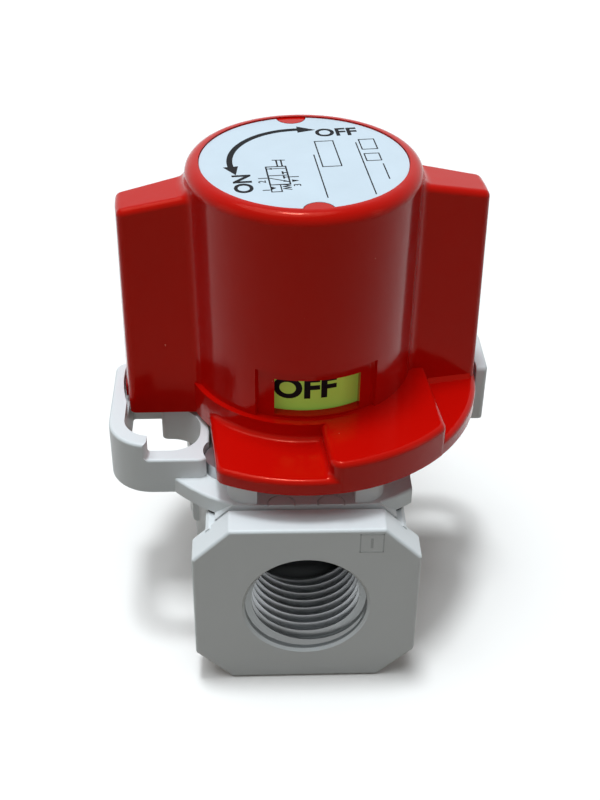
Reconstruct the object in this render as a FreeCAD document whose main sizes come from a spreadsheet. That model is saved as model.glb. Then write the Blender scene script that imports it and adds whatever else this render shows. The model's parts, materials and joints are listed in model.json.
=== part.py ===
"""Three-port shut-off valve with a quarter-turn knob: inlet at -Y, outlet at +Y, exhaust at -Z.

Frame in millimetres: +Z up along the knob's axis, origin at the centre of the exhaust mouth.
The knob stands a few degrees away from its exhaust stop, and the stem where the cam puts it.
"""
import FreeCAD, Part
import math
import os
import re

import Sketcher

doc = FreeCAD.newDocument("ShutOffValve")
sheet = doc.addObject("Spreadsheet::Sheet", "Sizes")

# Driving dimensions: alias, value and what it measures.
SIZES = {
    # body casting
    "face_length": (53.0, "inlet face to outlet face"),
    "port_width": (30.0, "width of a port flange"),
    "port_height": (27.0, "height of a port flange"),
    "port_corner": (4.9, "corner chamfer of a port flange"),
    "port_flange": (4.45, "thickness of a port flange"),
    "port_drop": (0.1, "port axis below the middle of its flange"),
    "port_bore": (8.2, "radius of a port's thread bore"),
    "port_depth": (14.0, "depth of a port's thread bore"),
    "mouth_rim": (0.4, "chamfer at a thread's mouth"),
    "cast_round": (0.45, "edge rounding of the castings"),
    "body_width": (26.4, "width of the body between its flanges"),
    "body_corner": (3.4, "bevel along the body's lower edges"),
    "body_lip": (0.4, "bevel along the body's upper edges"),
    "barrel_radius": (15.7, "radius of the body's round middle"),
    "boss_proud": (0.8, "side boss standing out of the round middle"),
    "boss_floor": (9.6, "underside of the side boss above the base"),
    "boss_width": (9.0, "width of the side boss"),
    "saddle_drop": (2.4, "cover seat below the top of the flanges"),
    "exhaust_bore": (6.6, "radius of the exhaust thread bore"),
    # valve seats and stem guide
    "seat_depth": (6.6, "underside of the seat ring below the cover's seat"),
    "seat_thick": (1.6, "thickness of the seat ring"),
    "upper_hole": (5.2, "radius of the upper seat's hole"),
    "lower_hole": (4.6, "radius of the lower seat's hole"),
    "seat_lip": (1.0, "width of the lower seat's lip"),
    "lip_height": (0.6, "height of the lower seat's lip"),
    "seat_wall": (1.6, "wall between lower seat and exhaust thread"),
    "chamber_radius": (8.0, "radius of the middle chamber"),
    "guide_radius": (10.0, "radius of the bore for the stem guide"),
    "guide_flange": (12.0, "radius of the stem guide's flange seat"),
    "guide_sink": (1.3, "depth of the flange seat below the saddle"),
    "guide_wall": (2.5, "wall of the stem guide's skirt"),
    "guide_window": (2.0, "height of the stem guide's windows"),
    "window_width": (8.0, "width of the stem guide's windows"),
    "core_width": (9.0, "width of the cored air passages"),
    "slip_fit": (0.04, "radial clearance of parts that slide or drop in"),
    "end_play": (0.05, "axial play of the turning parts"),
    "cord_radius": (0.65, "radius of an O-ring's section"),
    # stem, poppet and cam
    "stem_radius": (3.0, "radius of the stem"),
    "stem_neck": (2.0, "radius of the stem in the poppet"),
    "stem_travel": (5.0, "stem slide for a quarter turn"),
    "rest_angle": (5.7, "knob's turn away from its exhaust stop"),
    "seal_gap": (0.05, "space left at a closed seat"),
    "poppet_radius": (6.8, "radius of the poppet"),
    "poppet_thick": (3.5, "poppet with both seals"),
    "seal_proud": (0.3, "seal standing proud of the poppet"),
    "seal_thick": (1.0, "thickness of a rubber seal"),
    "seal_inner": (4.0, "inner radius of a rubber seal"),
    "seal_outer": (6.3, "outer radius of a rubber seal"),
    "nut_corner": (3.9, "radius of the poppet nut's corners"),
    "nut_height": (2.2, "height of the poppet nut"),
    "pin_radius": (1.5, "radius of the cross pin"),
    "pin_height": (10.5, "cross pin above the turret"),
    "cam_wall": (3.0, "wall of the cam sleeve with its fit on the tower"),
    "cam_room": (0.7, "space round the cam sleeve's foot"),
    "cam_slot": (3.6, "height of the cam slots"),
    "cam_spare": (16.0, "cam slot beyond the pin at either stop, in degrees"),
    "pin_short": (0.3, "cross pin's ends inside the cam sleeve's outer face"),
    "tower_radius": (6.5, "outer radius of the cover's tower"),
    "roof_gap": (3.9, "space between the tower and the knob's roof"),
    "spring_room": (5.0, "bore radius of the tower round the spring"),
    "spring_floor": (15.5, "spring seat above the turret"),
    "spring_radius": (4.15, "mean radius of the return spring"),
    "spring_wire": (0.35, "radius of the spring's wire"),
    "spring_turns": (5.0, "turns of the return spring"),
    "washer_thick": (1.0, "thickness of the thrust washer"),
    "clip_thick": (0.8, "thickness of snap ring and stem clip"),
    # cover
    "gasket_thick": (0.5, "thickness of the cover gasket"),
    "cover_width": (28.3, "width of the cover's plate"),
    "cover_gap": (0.15, "gap between cover and port flange"),
    "cover_thick": (2.4, "thickness of the cover's plate"),
    "turret_edge": (0.2, "turret standing out round the indicator ring"),
    "turret_height": (3.0, "height of the turret above the plate"),
    "lobe_width": (20.6, "width of the lobes in front of and behind the turret"),
    "lobe_inset": (0.3, "lobe's front face behind the plate's"),
    "lobe_round": (2.7, "corner radius of the lobes"),
    "pad_width": (12.8, "width of the flat pad between the lobes' corners"),
    "pad_depth": (2.9, "depth of the flat pad"),
    "pad_mark": (1.85, "radius of the round marks on the pad"),
    "mark_line": (0.2, "width and depth of a round mark's groove"),
    "pad_mark_pitch": (6.5, "spacing of the two round marks"),
    "screw_radius": (1.5, "radius of the screws' threads"),
    "screw_length": (12.0, "length of a cover screw under its head"),
    "knob_screw_length": (5.6, "length of a knob screw with its head"),
    "head_radius": (2.75, "radius of the screws' heads"),
    "head_height": (2.0, "height of a cover screw's head"),
    "key_radius": (1.3, "radius of the corners of a screw's key socket"),
    "key_depth": (1.1, "depth of a screw's key socket"),
    "screw_point": (0.3, "chamfer at a screw's tip"),
    "pocket_gap": (0.2, "space round a cover screw's head"),
    "screw_pitch_x": (21.2, "spacing of the cover screws across"),
    "screw_pitch_y": (28.0, "spacing of the cover screws along"),
    # padlock rings
    "ring_reach": (26.2, "outer face of the padlock ring from the axis"),
    "ring_front": (16.1, "front face of the padlock ring from the axis"),
    "ring_back": (3.4, "back face of the padlock ring behind the axis"),
    "ring_wall": (2.1, "wall of the padlock ring"),
    "ring_root": (12.8, "inner side of the padlock ring's root"),
    "ring_root_wall": (1.2, "wall at the padlock ring's root"),
    "ring_step": (19.7, "corner in the padlock hole from the axis"),
    "ring_shelf": (4.5, "front of the wide part of the ring's back wall"),
    "hole_round": (3.9, "corner radius at the root of the padlock hole"),
    "hole_bow": (4.5, "corner radius at the root of the padlock hole's rear wall"),
    "root_round": (1.4, "corner radius at the root of the padlock ring"),
    "ring_round": (5.8, "corner radius of the padlock ring"),
    "ring_end": (20.9, "end of the tall wall from the axis"),
    "end_round": (1.0, "corner radius at the end of the tall wall"),
    "ring_height": (7.9, "tall wall above the cover's underside"),
    "plate_radius": (23.7, "radius of the cover's plate at its corners"),
    "ear_height": (8.9, "top of the rear ring above the cover's underside"),
    "ear_reach": (26.5, "outer face of the rear ring from the axis"),
    "ear_front": (0.4, "front face of the rear ring before the axis"),
    "ear_back": (13.0, "back face of the rear ring behind the axis"),
    "ear_shelf": (4.0, "front of the rear ring's hole behind the axis"),
    "sweep_gap": (0.3, "space between the knob's sweep and the rings"),
    # indicator ring
    "indicator_gap": (0.3, "space between the indicator ring and the knob"),
    "indicator_wall": (1.2, "wall of the indicator ring"),
    "indicator_height": (14.0, "height of the indicator ring"),
    # knob
    "knob_gap": (0.8, "space between turret and knob"),
    "knob_height": (34.7, "height of the knob"),
    "knob_radius": (15.2, "outer radius of the knob's cylinder"),
    "knob_wall": (1.9, "wall of the knob's cylinder"),
    "knob_roof": (3.0, "thickness of the knob's roof"),
    "rim_height": (0.6, "rim above the label's seat"),
    "rim_round": (1.6, "rounding of the knob's rim"),
    "knob_round": (0.8, "rounding of the knob's other edges"),
    "foot_round": (0.8, "hollow rounding at the foot of the knob's walls"),
    "rim_width": (1.8, "width of the rim round the label's recess"),
    "label_thick": (0.4, "thickness of the label disc"),
    "label_notch": (1.9, "radius of the label's two locating notches"),
    "ledge_width": (0.8, "width of the ledge at the knob's foot"),
    "flange_radius": (24.6, "outer radius of the knob's flange"),
    "flange_low": (2.2, "thickness of the flange's low part"),
    "flange_high": (4.7, "thickness of the flange's high part"),
    "step_near": (0.5, "near side of the high part from the centre plane"),
    "step_far": (16.7, "far side of the high part from the centre plane"),
    "gap_side": (13.6, "edge of the flange beside the padlock gap"),
    "wing_reach": (24.2, "outer end of the wings at the foot"),
    "wing_foot": (9.8, "thickness of the wings at the foot, at the cylinder"),
    "wing_crest": (7.0, "thickness of the wings at the top, at the cylinder"),
    "wing_narrowing": (4.9, "turn of each face towards the wing's tip, in degrees"),
    "wing_drop": (2.8, "wing's top below the rim at the cylinder"),
    "wing_slope": (2.0, "fall of the wing's top to its outer end"),
    "wing_core": (3.2, "width of the hollow in a wing"),
    "wing_cove": (0.6, "sloping foot of a wing on the flange"),
    "window_half": (5.4, "half width of the knob's windows"),
    "window_shift": (0.5, "extra width at the side where the window closes last"),
    "window_low": (0.4, "window's lower edge above the flange"),
    "window_tall": (5.6, "height of the knob's windows"),
    "recess_side": (2.0, "recess standing out beside a window"),
    "recess_tall": (7.4, "height of the recess round a window"),
    "recess_deep": (0.6, "depth of the recess round a window"),
    "knob_screw_ring": (10.4, "radius of the knob screws' circle"),
    "hub_room": (1.8, "space round the tower above the sleeve's shoulder"),
    "hub_gap": (0.7, "space between the sleeve's flange and the knob's wall"),
    "hub_thick": (3.0, "thickness of the cam sleeve's flange"),
}

# Levels and places worked out from the driving dimensions.
PLACES = {
    "face": "(face_length / 2)",
    "flange_back": "(face - port_flange)",
    "port_level": "(port_height / 2 - port_drop)",
    "saddle": "(port_height - saddle_drop)",
    "cover_floor": "(saddle + gasket_thick)",
    "plate_top": "(cover_floor + cover_thick)",
    "turret_top": "(plate_top + turret_height)",
    "cover_front": "(flange_back - cover_gap)",
    "lobe_front": "(cover_front - lobe_inset)",
    "seat_level": "(saddle - seat_depth)",
    "seat_top": "(seat_level + seat_thick)",
    "guide_seat": "(saddle - guide_sink)",
    "guide_roof": "(seat_top + guide_window)",
    "lower_seat": "(seat_level - stem_travel - poppet_thick - 2 * seal_gap)",
    "exhaust_depth": "(lower_seat - seat_wall)",
    "rest_slide": "(stem_travel * rest_angle / 90)",
    "poppet_top": "(seat_level - seal_gap - rest_slide)",
    "poppet_floor": "(poppet_top - poppet_thick)",
    "pin_level": "(turret_top + pin_height)",
    "spring_seat": "(turret_top + spring_floor)",
    "tower_top": "(knob_ceiling - roof_gap)",
    "cam_radius": "(tower_radius + cam_wall)",
    "cam_floor": "(turret_top + washer_thick + end_play)",
    "cam_shoulder": "(tower_top - 3 * clip_thick)",
    "snap_floor": "(cam_shoulder + end_play + clip_thick)",
    "spring_top": "(tower_top - 3 * clip_thick)",
    "stem_top": "(spring_top + 3 * clip_thick)",
    "knob_floor": "(turret_top + knob_gap)",
    "low_top": "(knob_floor + flange_low)",
    "high_top": "(knob_floor + flange_high)",
    "knob_top": "(knob_floor + knob_height)",
    "label_seat": "(knob_top - rim_height)",
    "knob_ceiling": "(label_seat - knob_roof)",
    "knob_bore": "(knob_radius - knob_wall)",
    "label_radius": "(knob_radius - rim_width)",
    "ledge_radius": "(knob_radius + ledge_width)",
    "ring_outer": "(knob_bore - indicator_gap)",
    "ring_inner": "(ring_outer - indicator_wall)",
    "turret_radius": "(ring_outer + turret_edge)",
    "hub_bore": "(tower_radius + hub_room)",
    "hub_flange": "(knob_bore - hub_gap)",
    "wing_root": "(knob_top - wing_drop)",
    "wing_tip": "(wing_root - wing_slope)",
    "sweep_radius": "(flange_radius + sweep_gap)",
    "ring_top": "(cover_floor + ring_height)",
    "ear_top": "(cover_floor + ear_height)",
    "over_rings": "(cover_floor + ring_height + ear_height)",
}

for row, (alias, (value, meaning)) in enumerate(SIZES.items(), start=1):
    sheet.set(f"A{row}", meaning)
    sheet.set(f"B{row}", str(value))
    sheet.setAlias(f"B{row}", alias)
doc.recompute()


def formula(text):
    """An expression of FreeCAD for a text of size and place names."""
    text = str(text)
    while any(re.search(rf"\b{name}\b", text) for name in PLACES):
        for name, meaning in PLACES.items():
            text = re.sub(rf"\b{name}\b", meaning, text)
    return re.sub(r"[a-z][a-z_]+", lambda word: f"Sizes.{word[0]}" if word[0] in SIZES else word[0], text)


def value_of(text):
    """The number that a text of size and place names stands for now."""
    return float(sheet.evalExpression(formula(text)))


def bind(thing, texts):
    """Bind properties of an object to texts of size and place names."""
    for prop, text in texts.items():
        thing.setExpression(prop, formula(text))
    return thing


def box(name, x_span, y_span, z_span):
    """A block between two places along each axis."""
    block = doc.addObject("Part::Box", name)
    for axis, size, (low, high) in zip("xyz", ("Length", "Width", "Height"), (x_span, y_span, z_span)):
        bind(block, {size: f"{high} - ({low})", f"Placement.Base.{axis}": low})
    return block


def rod(name, radius, low, high, x="0", y="0"):
    """An upright cylinder between two levels."""
    cylinder = doc.addObject("Part::Cylinder", name)
    return bind(cylinder, {"Radius": radius, "Height": f"{high} - ({low})", "Placement.Base.x": x,
                           "Placement.Base.y": y, "Placement.Base.z": low})


def port_rod(name, radius, end_radius, start, end):
    """A round tool on the port axis from one place along Y to another, straight or tapered."""
    cone = doc.addObject("Part::Cone", name)
    cone.Placement.Rotation = FreeCAD.Rotation(FreeCAD.Vector(1, 0, 0), -90)
    return bind(cone, {"Radius1": radius, "Radius2": end_radius, "Height": f"{end} - ({start})",
                       "Placement.Base.y": start, "Placement.Base.z": "port_level"})


def o_ring(name, radius, section, level):
    """An O-ring of a mean radius and a section radius at a level."""
    torus = doc.addObject("Part::Torus", name)
    return bind(torus, {"Radius1": radius, "Radius2": section, "Placement.Base.z": level})


def fuse(name, parts):
    whole = doc.addObject("Part::MultiFuse", name)
    whole.Shapes = parts
    whole.Refine = True
    return whole


def common(name, parts):
    whole = doc.addObject("Part::MultiCommon", name)
    whole.Shapes = parts
    whole.Refine = True
    return whole


def cut(name, base, tools):
    result = doc.addObject("Part::Cut", name)
    result.Base = base
    result.Tool = tools[0] if len(tools) == 1 else fuse(name + "_tools", tools)
    result.Refine = True
    return result


def group(name, parts):
    """Parts held together unchanged, to be turned as one."""
    whole = doc.addObject("Part::Compound", name)
    whole.Links = parts
    return whole


def turn(thing, angle):
    """Turn an object about the knob's axis by an angle in degrees."""
    thing.Placement.Rotation = FreeCAD.Rotation(FreeCAD.Vector(0, 0, 1), value_of(angle))
    return bind(thing, {"Placement.Rotation.Angle": angle})


def outline(body, plane, corners):
    """A closed sketch whose corners are each held to the origin by two bound distances."""
    sketch = body.newObject("Sketcher::SketchObject", body.Name + "_outline")
    support = [feature for feature in body.Origin.OriginFeatures if feature.Role == plane][0]
    sketch.AttachmentSupport = [(support, "")]
    sketch.MapMode = "FlatFace"
    places = [FreeCAD.Vector(value_of(across), value_of(up), 0) for across, up in corners]
    count = len(corners)
    for index in range(count):
        sketch.addGeometry(Part.LineSegment(places[index], places[(index + 1) % count]), False)
    for index in range(count):
        sketch.addConstraint(Sketcher.Constraint("Coincident", index, 2, (index + 1) % count, 1))
    for index, (across, up) in enumerate(corners):
        place = places[index]
        for kind, text, number in (("DistanceX", across, place.x), ("DistanceY", up, place.y)):
            if abs(number) < 1e-9:
                on_axis = -2 if kind == "DistanceX" else -1
                sketch.addConstraint(Sketcher.Constraint("PointOnObject", index, 1, on_axis))
            else:
                row = sketch.addConstraint(Sketcher.Constraint(kind, -1, 1, index, 1, number))
                sketch.setExpression(f"Constraints[{row}]", formula(text))
    return sketch


def turned(name, corners, x="0", y="0"):
    """A body turned about Z from an outline of (radius, level) corners."""
    body = doc.addObject("PartDesign::Body", name)
    sketch = outline(body, "XZ_Plane", corners)
    spin = body.newObject("PartDesign::Revolution", name + "_turning")
    spin.Profile = sketch
    spin.ReferenceAxis = (sketch, ["V_Axis"])
    spin.Angle = 360
    sketch.Visibility = False
    return bind(body, {"Placement.Base.x": x, "Placement.Base.y": y})


def padded(name, corners, low, high):
    """A body padded upwards between two levels from an outline of (x, y) corners."""
    body = doc.addObject("PartDesign::Body", name)
    sketch = outline(body, "XY_Plane", corners)
    pad = body.newObject("PartDesign::Pad", name + "_pad")
    pad.Profile = sketch
    bind(pad, {"Length": f"{high} - ({low})"})
    return bind(body, {"Placement.Base.z": low})


def washer(name, inner, outer, low, high):
    return turned(name, [(inner, low), (outer, low), (outer, high), (inner, high)])


def rounded(name, base, choices):
    """Round edges of an object; choices pairs a test of an edge with a size name."""
    doc.recompute()
    result = doc.addObject("Part::Fillet", name)
    result.Base = base
    rows = []
    for number, edge in enumerate(base.Shape.Edges, start=1):
        for test, size in choices:
            if test(edge):
                radius = value_of(size)
                rows.append((number, radius, radius))
                break
    result.Edges = rows
    return result


def middle(edge):
    """The point halfway along an edge."""
    return edge.valueAt((edge.FirstParameter + edge.LastParameter) / 2)


def upright(edge):
    """Whether an edge is straight and parallel to Z."""
    ends = [vertex.Point for vertex in edge.Vertexes]
    return len(ends) == 2 and (ends[1] - ends[0]).cross(FreeCAD.Vector(0, 0, 1)).Length < 1e-6


def at_level(edge, text):
    """Whether every end and the middle of an edge lie at a level."""
    level = value_of(text)
    points = [vertex.Point for vertex in edge.Vertexes] + [middle(edge)]
    return all(abs(point.z - level) < 1e-6 for point in points)


def corner_places(pitch_x, pitch_y):
    """The four corners of a rectangle of screws, as texts."""
    return [(f"{sx} * {pitch_x} / 2", f"{sy} * {pitch_y} / 2") for sy in (-1, 1) for sx in (-1, 1)]


def slab(name, corners, low, high):
    """A body padded along Y between two places from an outline of (x, z) corners."""
    body = doc.addObject("PartDesign::Body", name)
    sketch = outline(body, "XZ_Plane", corners)
    pad = body.newObject("PartDesign::Pad", name + "_pad")
    pad.Profile = sketch
    bind(pad, {"Length": f"{high} - ({low})"})
    return bind(body, {"Placement.Base.y": high})


def sweep(name, profile, path):
    """A solid made by carrying a closed profile along a helix."""
    result = doc.addObject("Part::Sweep", name)
    result.Sections = [profile]
    result.Spine = (path, [])
    result.Solid = True
    result.Frenet = True
    return result


def screw(name, x, y, seat, length, head_low, head_high, head_foot):
    """A socket screw standing upright: shank below the seat and a turned head."""
    tip = f"{seat} - {length}"
    shank = turned(name + "_shank", [
        ("0", tip), ("screw_radius - screw_point", tip), ("screw_radius", f"{tip} + screw_point"),
        ("screw_radius", head_low), (head_foot, head_low),
        ("head_radius", head_high), ("0", head_high)], x, y)
    socket = doc.addObject("Part::Prism", name + "_socket")
    bind(socket, {"Circumradius": "key_radius", "Height": "key_depth + 1", "Placement.Base.x": x,
                  "Placement.Base.y": y, "Placement.Base.z": f"{head_high} - key_depth"})
    return cut(name, shank, [socket])


# ---------------------------------------------------------------- body casting
half_port = "port_width / 2"
port_octagon = [
    (f"{half_port} - port_corner", "0"), (half_port, "port_corner"),
    (half_port, "port_height - port_corner"), (f"{half_port} - port_corner", "port_height"),
    (f"port_corner - {half_port}", "port_height"), (f"-{half_port}", "port_height - port_corner"),
    (f"-{half_port}", "port_corner"), (f"port_corner - {half_port}", "0")]
front_plate = slab("front_plate", port_octagon, "-face", "-flange_back")
rear_plate = slab("rear_plate", port_octagon, "flange_back", "face")
plates = [rounded(plate.Name + "_rounded", plate, [(lambda edge: True, "cast_round")])
          for plate in (front_plate, rear_plate)]
half_body = "body_width / 2"
block_outline = [
    (f"{half_body} - body_corner", "0"), (half_body, "body_corner"),
    (half_body, "saddle - body_lip"), (f"{half_body} - body_lip", "saddle"),
    (f"body_lip - {half_body}", "saddle"), (f"-{half_body}", "saddle - body_lip"),
    (f"-{half_body}", "body_corner"), (f"body_corner - {half_body}", "0")]
block = slab("body_block", block_outline, "-flange_back - 1", "flange_back + 1")
barrel = rounded("barrel_rounded", rod("body_barrel", "barrel_radius", "0", "saddle"), [
    (lambda edge: at_level(edge, "0"), "body_corner"),
    (lambda edge: at_level(edge, "saddle"), "body_lip")])
boss_disc = rod("boss_disc", "barrel_radius + boss_proud", "boss_floor", "saddle - body_lip")
boss_area = box("boss_area", ("-barrel_radius - 1", "1 - barrel_radius"),
                ("-boss_width / 2", "boss_width / 2"), ("boss_floor", "saddle - body_lip"))


def boss_foot(edge):
    """Whether an edge is the outer one under the side boss."""
    return at_level(edge, "boss_floor") and middle(edge).x < value_of("-barrel_radius")


boss = rounded("boss", common("boss_blank", [boss_disc, boss_area]), [(boss_foot, "boss_proud * 0.9")])
casting = fuse("body_casting", [block, barrel, boss] + plates)

stack = turned("valve_bore", [
    ("0", "-1"), ("exhaust_bore", "-1"), ("exhaust_bore", "exhaust_depth"), ("lower_hole", "exhaust_depth"),
    ("lower_hole", "lower_seat"), ("lower_hole + seat_lip", "lower_seat"),
    ("lower_hole + seat_lip", "lower_seat - lip_height"), ("chamber_radius", "lower_seat - lip_height"),
    ("chamber_radius", "seat_level"), ("guide_radius", "seat_level"), ("guide_radius", "guide_seat"),
    ("guide_flange", "guide_seat"), ("guide_flange", "saddle + 1"), ("0", "saddle + 1")])
port_cores = []
for name, side in (("inlet", "-1"), ("outlet", "1")):
    inner, outer = f"{side} * (face - port_depth)", f"{side} * face"
    start, end = (outer, inner) if side == "-1" else (inner, outer)
    port_cores.append(port_rod(name + "_bore", "port_bore", "port_bore", start, end))
    wide, narrow = "port_bore + mouth_rim", "port_bore"
    lead = f"{side} * (face - mouth_rim)"
    if side == "-1":
        port_cores.append(port_rod(name + "_mouth", wide, narrow, outer, lead))
    else:
        port_cores.append(port_rod(name + "_mouth", narrow, wide, lead, outer))
core_side = ("-core_width / 2", "core_width / 2")
riser = box("inlet_riser", core_side, ("-face + port_depth - 2.5", "-guide_radius - 1.2"),
            ("port_level", "guide_roof - 0.2"))
gallery = box("inlet_gallery", core_side, ("-face + port_depth - 2.5", "-guide_radius + 1.2"),
              ("seat_top + 0.2", "guide_roof - 0.2"))
throat = box("outlet_throat", core_side, ("chamber_radius - 2", "face - port_depth + 1"),
             ("port_level - 3.9", "port_level + 3.9"))
corners = corner_places("screw_pitch_x", "screw_pitch_y")
taps = [rod(f"tapped_hole_{number}", "screw_radius + slip_fit",
            "plate_top - screw_length - 1", "saddle + 1", x, y)
        for number, (x, y) in enumerate(corners, start=1)]
valve_body = cut("valve_body", casting, [stack] + port_cores + [riser, gallery, throat] + taps)

# ---------------------------------------------------------------- seat ring, stem guide and their seals
seat_ring = washer("seat_ring", "upper_hole", "guide_radius - slip_fit", "seat_level", "seat_top")

skirt_outer = "guide_radius - slip_fit"
skirt_inner = "guide_radius - slip_fit - guide_wall"
groove_floor = "guide_radius - 2 * cord_radius - slip_fit"
cord_height = "(2 * cord_radius + 0.05)"
hole = "stem_radius + slip_fit"
stem_groove = "guide_seat - 0.2"
guide_shape = turned("guide_shape", [
    (skirt_inner, "seat_top"), (skirt_outer, "seat_top"), (skirt_outer, f"guide_seat - {cord_height}"),
    (groove_floor, f"guide_seat - {cord_height}"), (groove_floor, "guide_seat"),
    ("guide_flange - slip_fit", "guide_seat"), ("guide_flange - slip_fit", "cover_floor - end_play"),
    (hole, "cover_floor - end_play"), (hole, f"{stem_groove} + {cord_height}"),
    (f"{hole} + 2 * cord_radius", f"{stem_groove} + {cord_height}"),
    (f"{hole} + 2 * cord_radius", stem_groove), (hole, stem_groove),
    (hole, "guide_roof + 0.6"), (skirt_inner, "guide_roof + 0.6")])
half_window = "window_width / 2"
window_span = (f"-{half_window}", half_window)
across = ("-guide_radius - 1", "guide_radius + 1")
windows = [box("guide_window_along", window_span, across, ("seat_top - 1", "guide_roof")),
           box("guide_window_across", across, window_span, ("seat_top - 1", "guide_roof"))]
stem_guide = cut("stem_guide", guide_shape, windows)
guide_o_ring = o_ring("guide_o_ring", "guide_radius - cord_radius - slip_fit / 2", "cord_radius",
                      f"guide_seat - {cord_height} / 2")
stem_o_ring = o_ring("stem_o_ring", f"{hole} + cord_radius", "cord_radius",
                     f"{stem_groove} + {cord_height} / 2")

# ---------------------------------------------------------------- cover, its gasket and its screws
corner_line = "(port_width / 2 - port_corner + port_height)"
gasket_area = box("gasket_area", ("-body_width / 2 + 0.3", "body_width / 2 - 0.3"),
                  ("-cover_front", "cover_front"), ("saddle", "cover_floor"))
gasket_disc = rod("gasket_disc", "plate_radius - 0.3", "saddle", "cover_floor")
gasket_strip = box(
    "gasket_strip", (f"cover_floor - {corner_line} + 0.3", f"{corner_line} - cover_floor - 0.3"),
    ("-cover_front", "cover_front"), ("saddle", "cover_floor"))
gasket_sheet = fuse("gasket_sheet", [common("gasket_middle", [gasket_area, gasket_disc]), gasket_strip])
gasket_holes = [rod("gasket_hole", "guide_flange + 0.3", "saddle - 1", "cover_floor + 1")]
gasket_holes += [rod(f"gasket_hole_{number}", "screw_radius + 0.2", "saddle - 1", "cover_floor + 1", x, y)
                 for number, (x, y) in enumerate(corners, start=1)]
cover_gasket = cut("cover_gasket", gasket_sheet, gasket_holes)

plate_disc = rod("plate_disc", "plate_radius", "cover_floor", "plate_top")
plate_area = box("plate_area", ("-cover_width / 2", "cover_width / 2"), ("-cover_front", "cover_front"),
                 ("cover_floor", "plate_top"))
base_plate = common("base_plate", [plate_disc, plate_area])
lug_disc = rod("lug_disc", "plate_radius", "cover_floor", "plate_top")
lug_area = box("lug_area", ("-ring_step", "-lobe_width / 2 + 1"),
               ("-cover_front", "-ring_front + ring_wall"), ("cover_floor", "plate_top"))
lug = common("lug", [lug_disc, lug_area])


def plate_rim(edge):
    """Whether an edge is an upper one on the plate's round sides."""
    return at_level(edge, "plate_top") and edge.Curve.TypeId == "Part::GeomCircle"


round_plate = rounded("round_plate", fuse("plate_and_lug", [base_plate, lug]),
                      [(plate_rim, "cast_round * 0.8")])
plate_strip = slab("plate_strip", [
    (f"cover_floor - {corner_line}", "cover_floor"), (f"{corner_line} - cover_floor", "cover_floor"),
    (f"{corner_line} - plate_top", "plate_top"), (f"plate_top - {corner_line}", "plate_top")],
    "-cover_front", "cover_front")
lobe_block = box("lobe_block", ("-lobe_width / 2", "lobe_width / 2"), ("-lobe_front", "lobe_front"),
                 ("cover_floor", "turret_top"))
lobes = rounded("lobes", lobe_block, [(upright, "lobe_round")])
turret = rod("turret", "turret_radius", "cover_floor", "turret_top")
spigot = rod("spigot", "ring_inner - slip_fit", "turret_top - 1", "turret_top + 1.4")
tower = rod("tower", "tower_radius", "turret_top - 1", "tower_top")

left_block = box("left_ring_block", ("-ring_reach", "-ring_root"), ("-ring_front", "ring_back"),
                 ("cover_floor", "ring_top"))
left_ring = rounded("left_ring", left_block, [
    (lambda edge: upright(edge) and middle(edge).x < -20 and middle(edge).y < 0, "ring_round"),
    (lambda edge: upright(edge) and middle(edge).x < -20, "ring_wall * 0.9"),
    (lambda edge: upright(edge) and middle(edge).y < 0, "root_round"),
    (lambda edge: at_level(edge, "ring_top") and middle(edge).x < -15, "cast_round")])
right_block = box("right_ring_block", ("ring_root", "ear_reach"), ("-ear_front", "ear_back"),
                  ("cover_floor", "ear_top"))
right_ring = rounded("right_ring", right_block, [
    (lambda edge: upright(edge) and middle(edge).x > 20 and middle(edge).y > 5, "ring_round"),
    (lambda edge: upright(edge) and middle(edge).x > 20, "ring_wall * 0.3"),
    (lambda edge: at_level(edge, "ear_top") and middle(edge).y < 0, "cast_round * 1.5"),
    (lambda edge: at_level(edge, "ear_top") and middle(edge).x > 15, "cast_round")])

inner_face = "-ring_reach + ring_wall"
root_face = "-ring_root - ring_root_wall"
left_hole = padded("left_padlock_hole", [
    (inner_face, "-ring_front + ring_wall"), (root_face, "-ring_front + ring_wall"),
    (root_face, "-ring_shelf"), ("-ring_step", "-ring_shelf"),
    ("-ring_step", "ring_back - 3.1"), (inner_face, "ring_back - 3.1")], "cover_floor - 1", "ring_top + 1")
left_hole_rounded = rounded("left_hole_rounded", left_hole, [
    (lambda edge: upright(edge) and middle(edge).x < -22 and middle(edge).y < -7, "ring_round - ring_wall"),
    (lambda edge: upright(edge) and middle(edge).y < -7, "hole_round"),
    (lambda edge: upright(edge) and middle(edge).x > -17, "hole_bow"),
    (lambda edge: upright(edge) and middle(edge).y < -2, "cast_round * 2"), (upright, "cast_round")])
right_hole = box("right_hole", ("ring_root + ring_root_wall", "ear_reach - ring_wall"),
                 ("ear_shelf", "ear_back - ring_wall"), ("cover_floor - 1", "ear_top + 1"))
right_hole_rounded = rounded("right_hole_rounded", right_hole, [
    (lambda edge: upright(edge) and middle(edge).x > 20 and middle(edge).y > 5, "ring_round - ring_wall"),
    (upright, "cast_round * 2")])
rings = fuse("rings", [left_ring, right_ring])
swept = rod("knob_sweep", "sweep_radius", "turret_top", "over_rings")
front_end = box("ring_front_end", ("-ring_end", "ring_end"), ("-ring_front - 1", "ring_front + 1"),
                ("turret_top", "over_rings"))
corner_block = box("ring_corner_block", ("-ring_end - end_round", "1 - ring_end"),
                   ("-ring_front - 1", "end_round - ring_front"), ("turret_top", "over_rings"))
corner_round = rod("ring_corner_round", "end_round", "turret_top", "over_rings",
                   "-ring_end - end_round", "end_round - ring_front")
corner_waste = cut("ring_corner_waste", corner_block, [corner_round])
tall_rings = cut("tall_rings", rings, [swept, front_end, corner_waste])


def step_rim(edge):
    """Whether an edge is the front one on the padlock ring's low part."""
    return at_level(edge, "turret_top") and middle(edge).y < value_of("root_round - ring_front")


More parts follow.
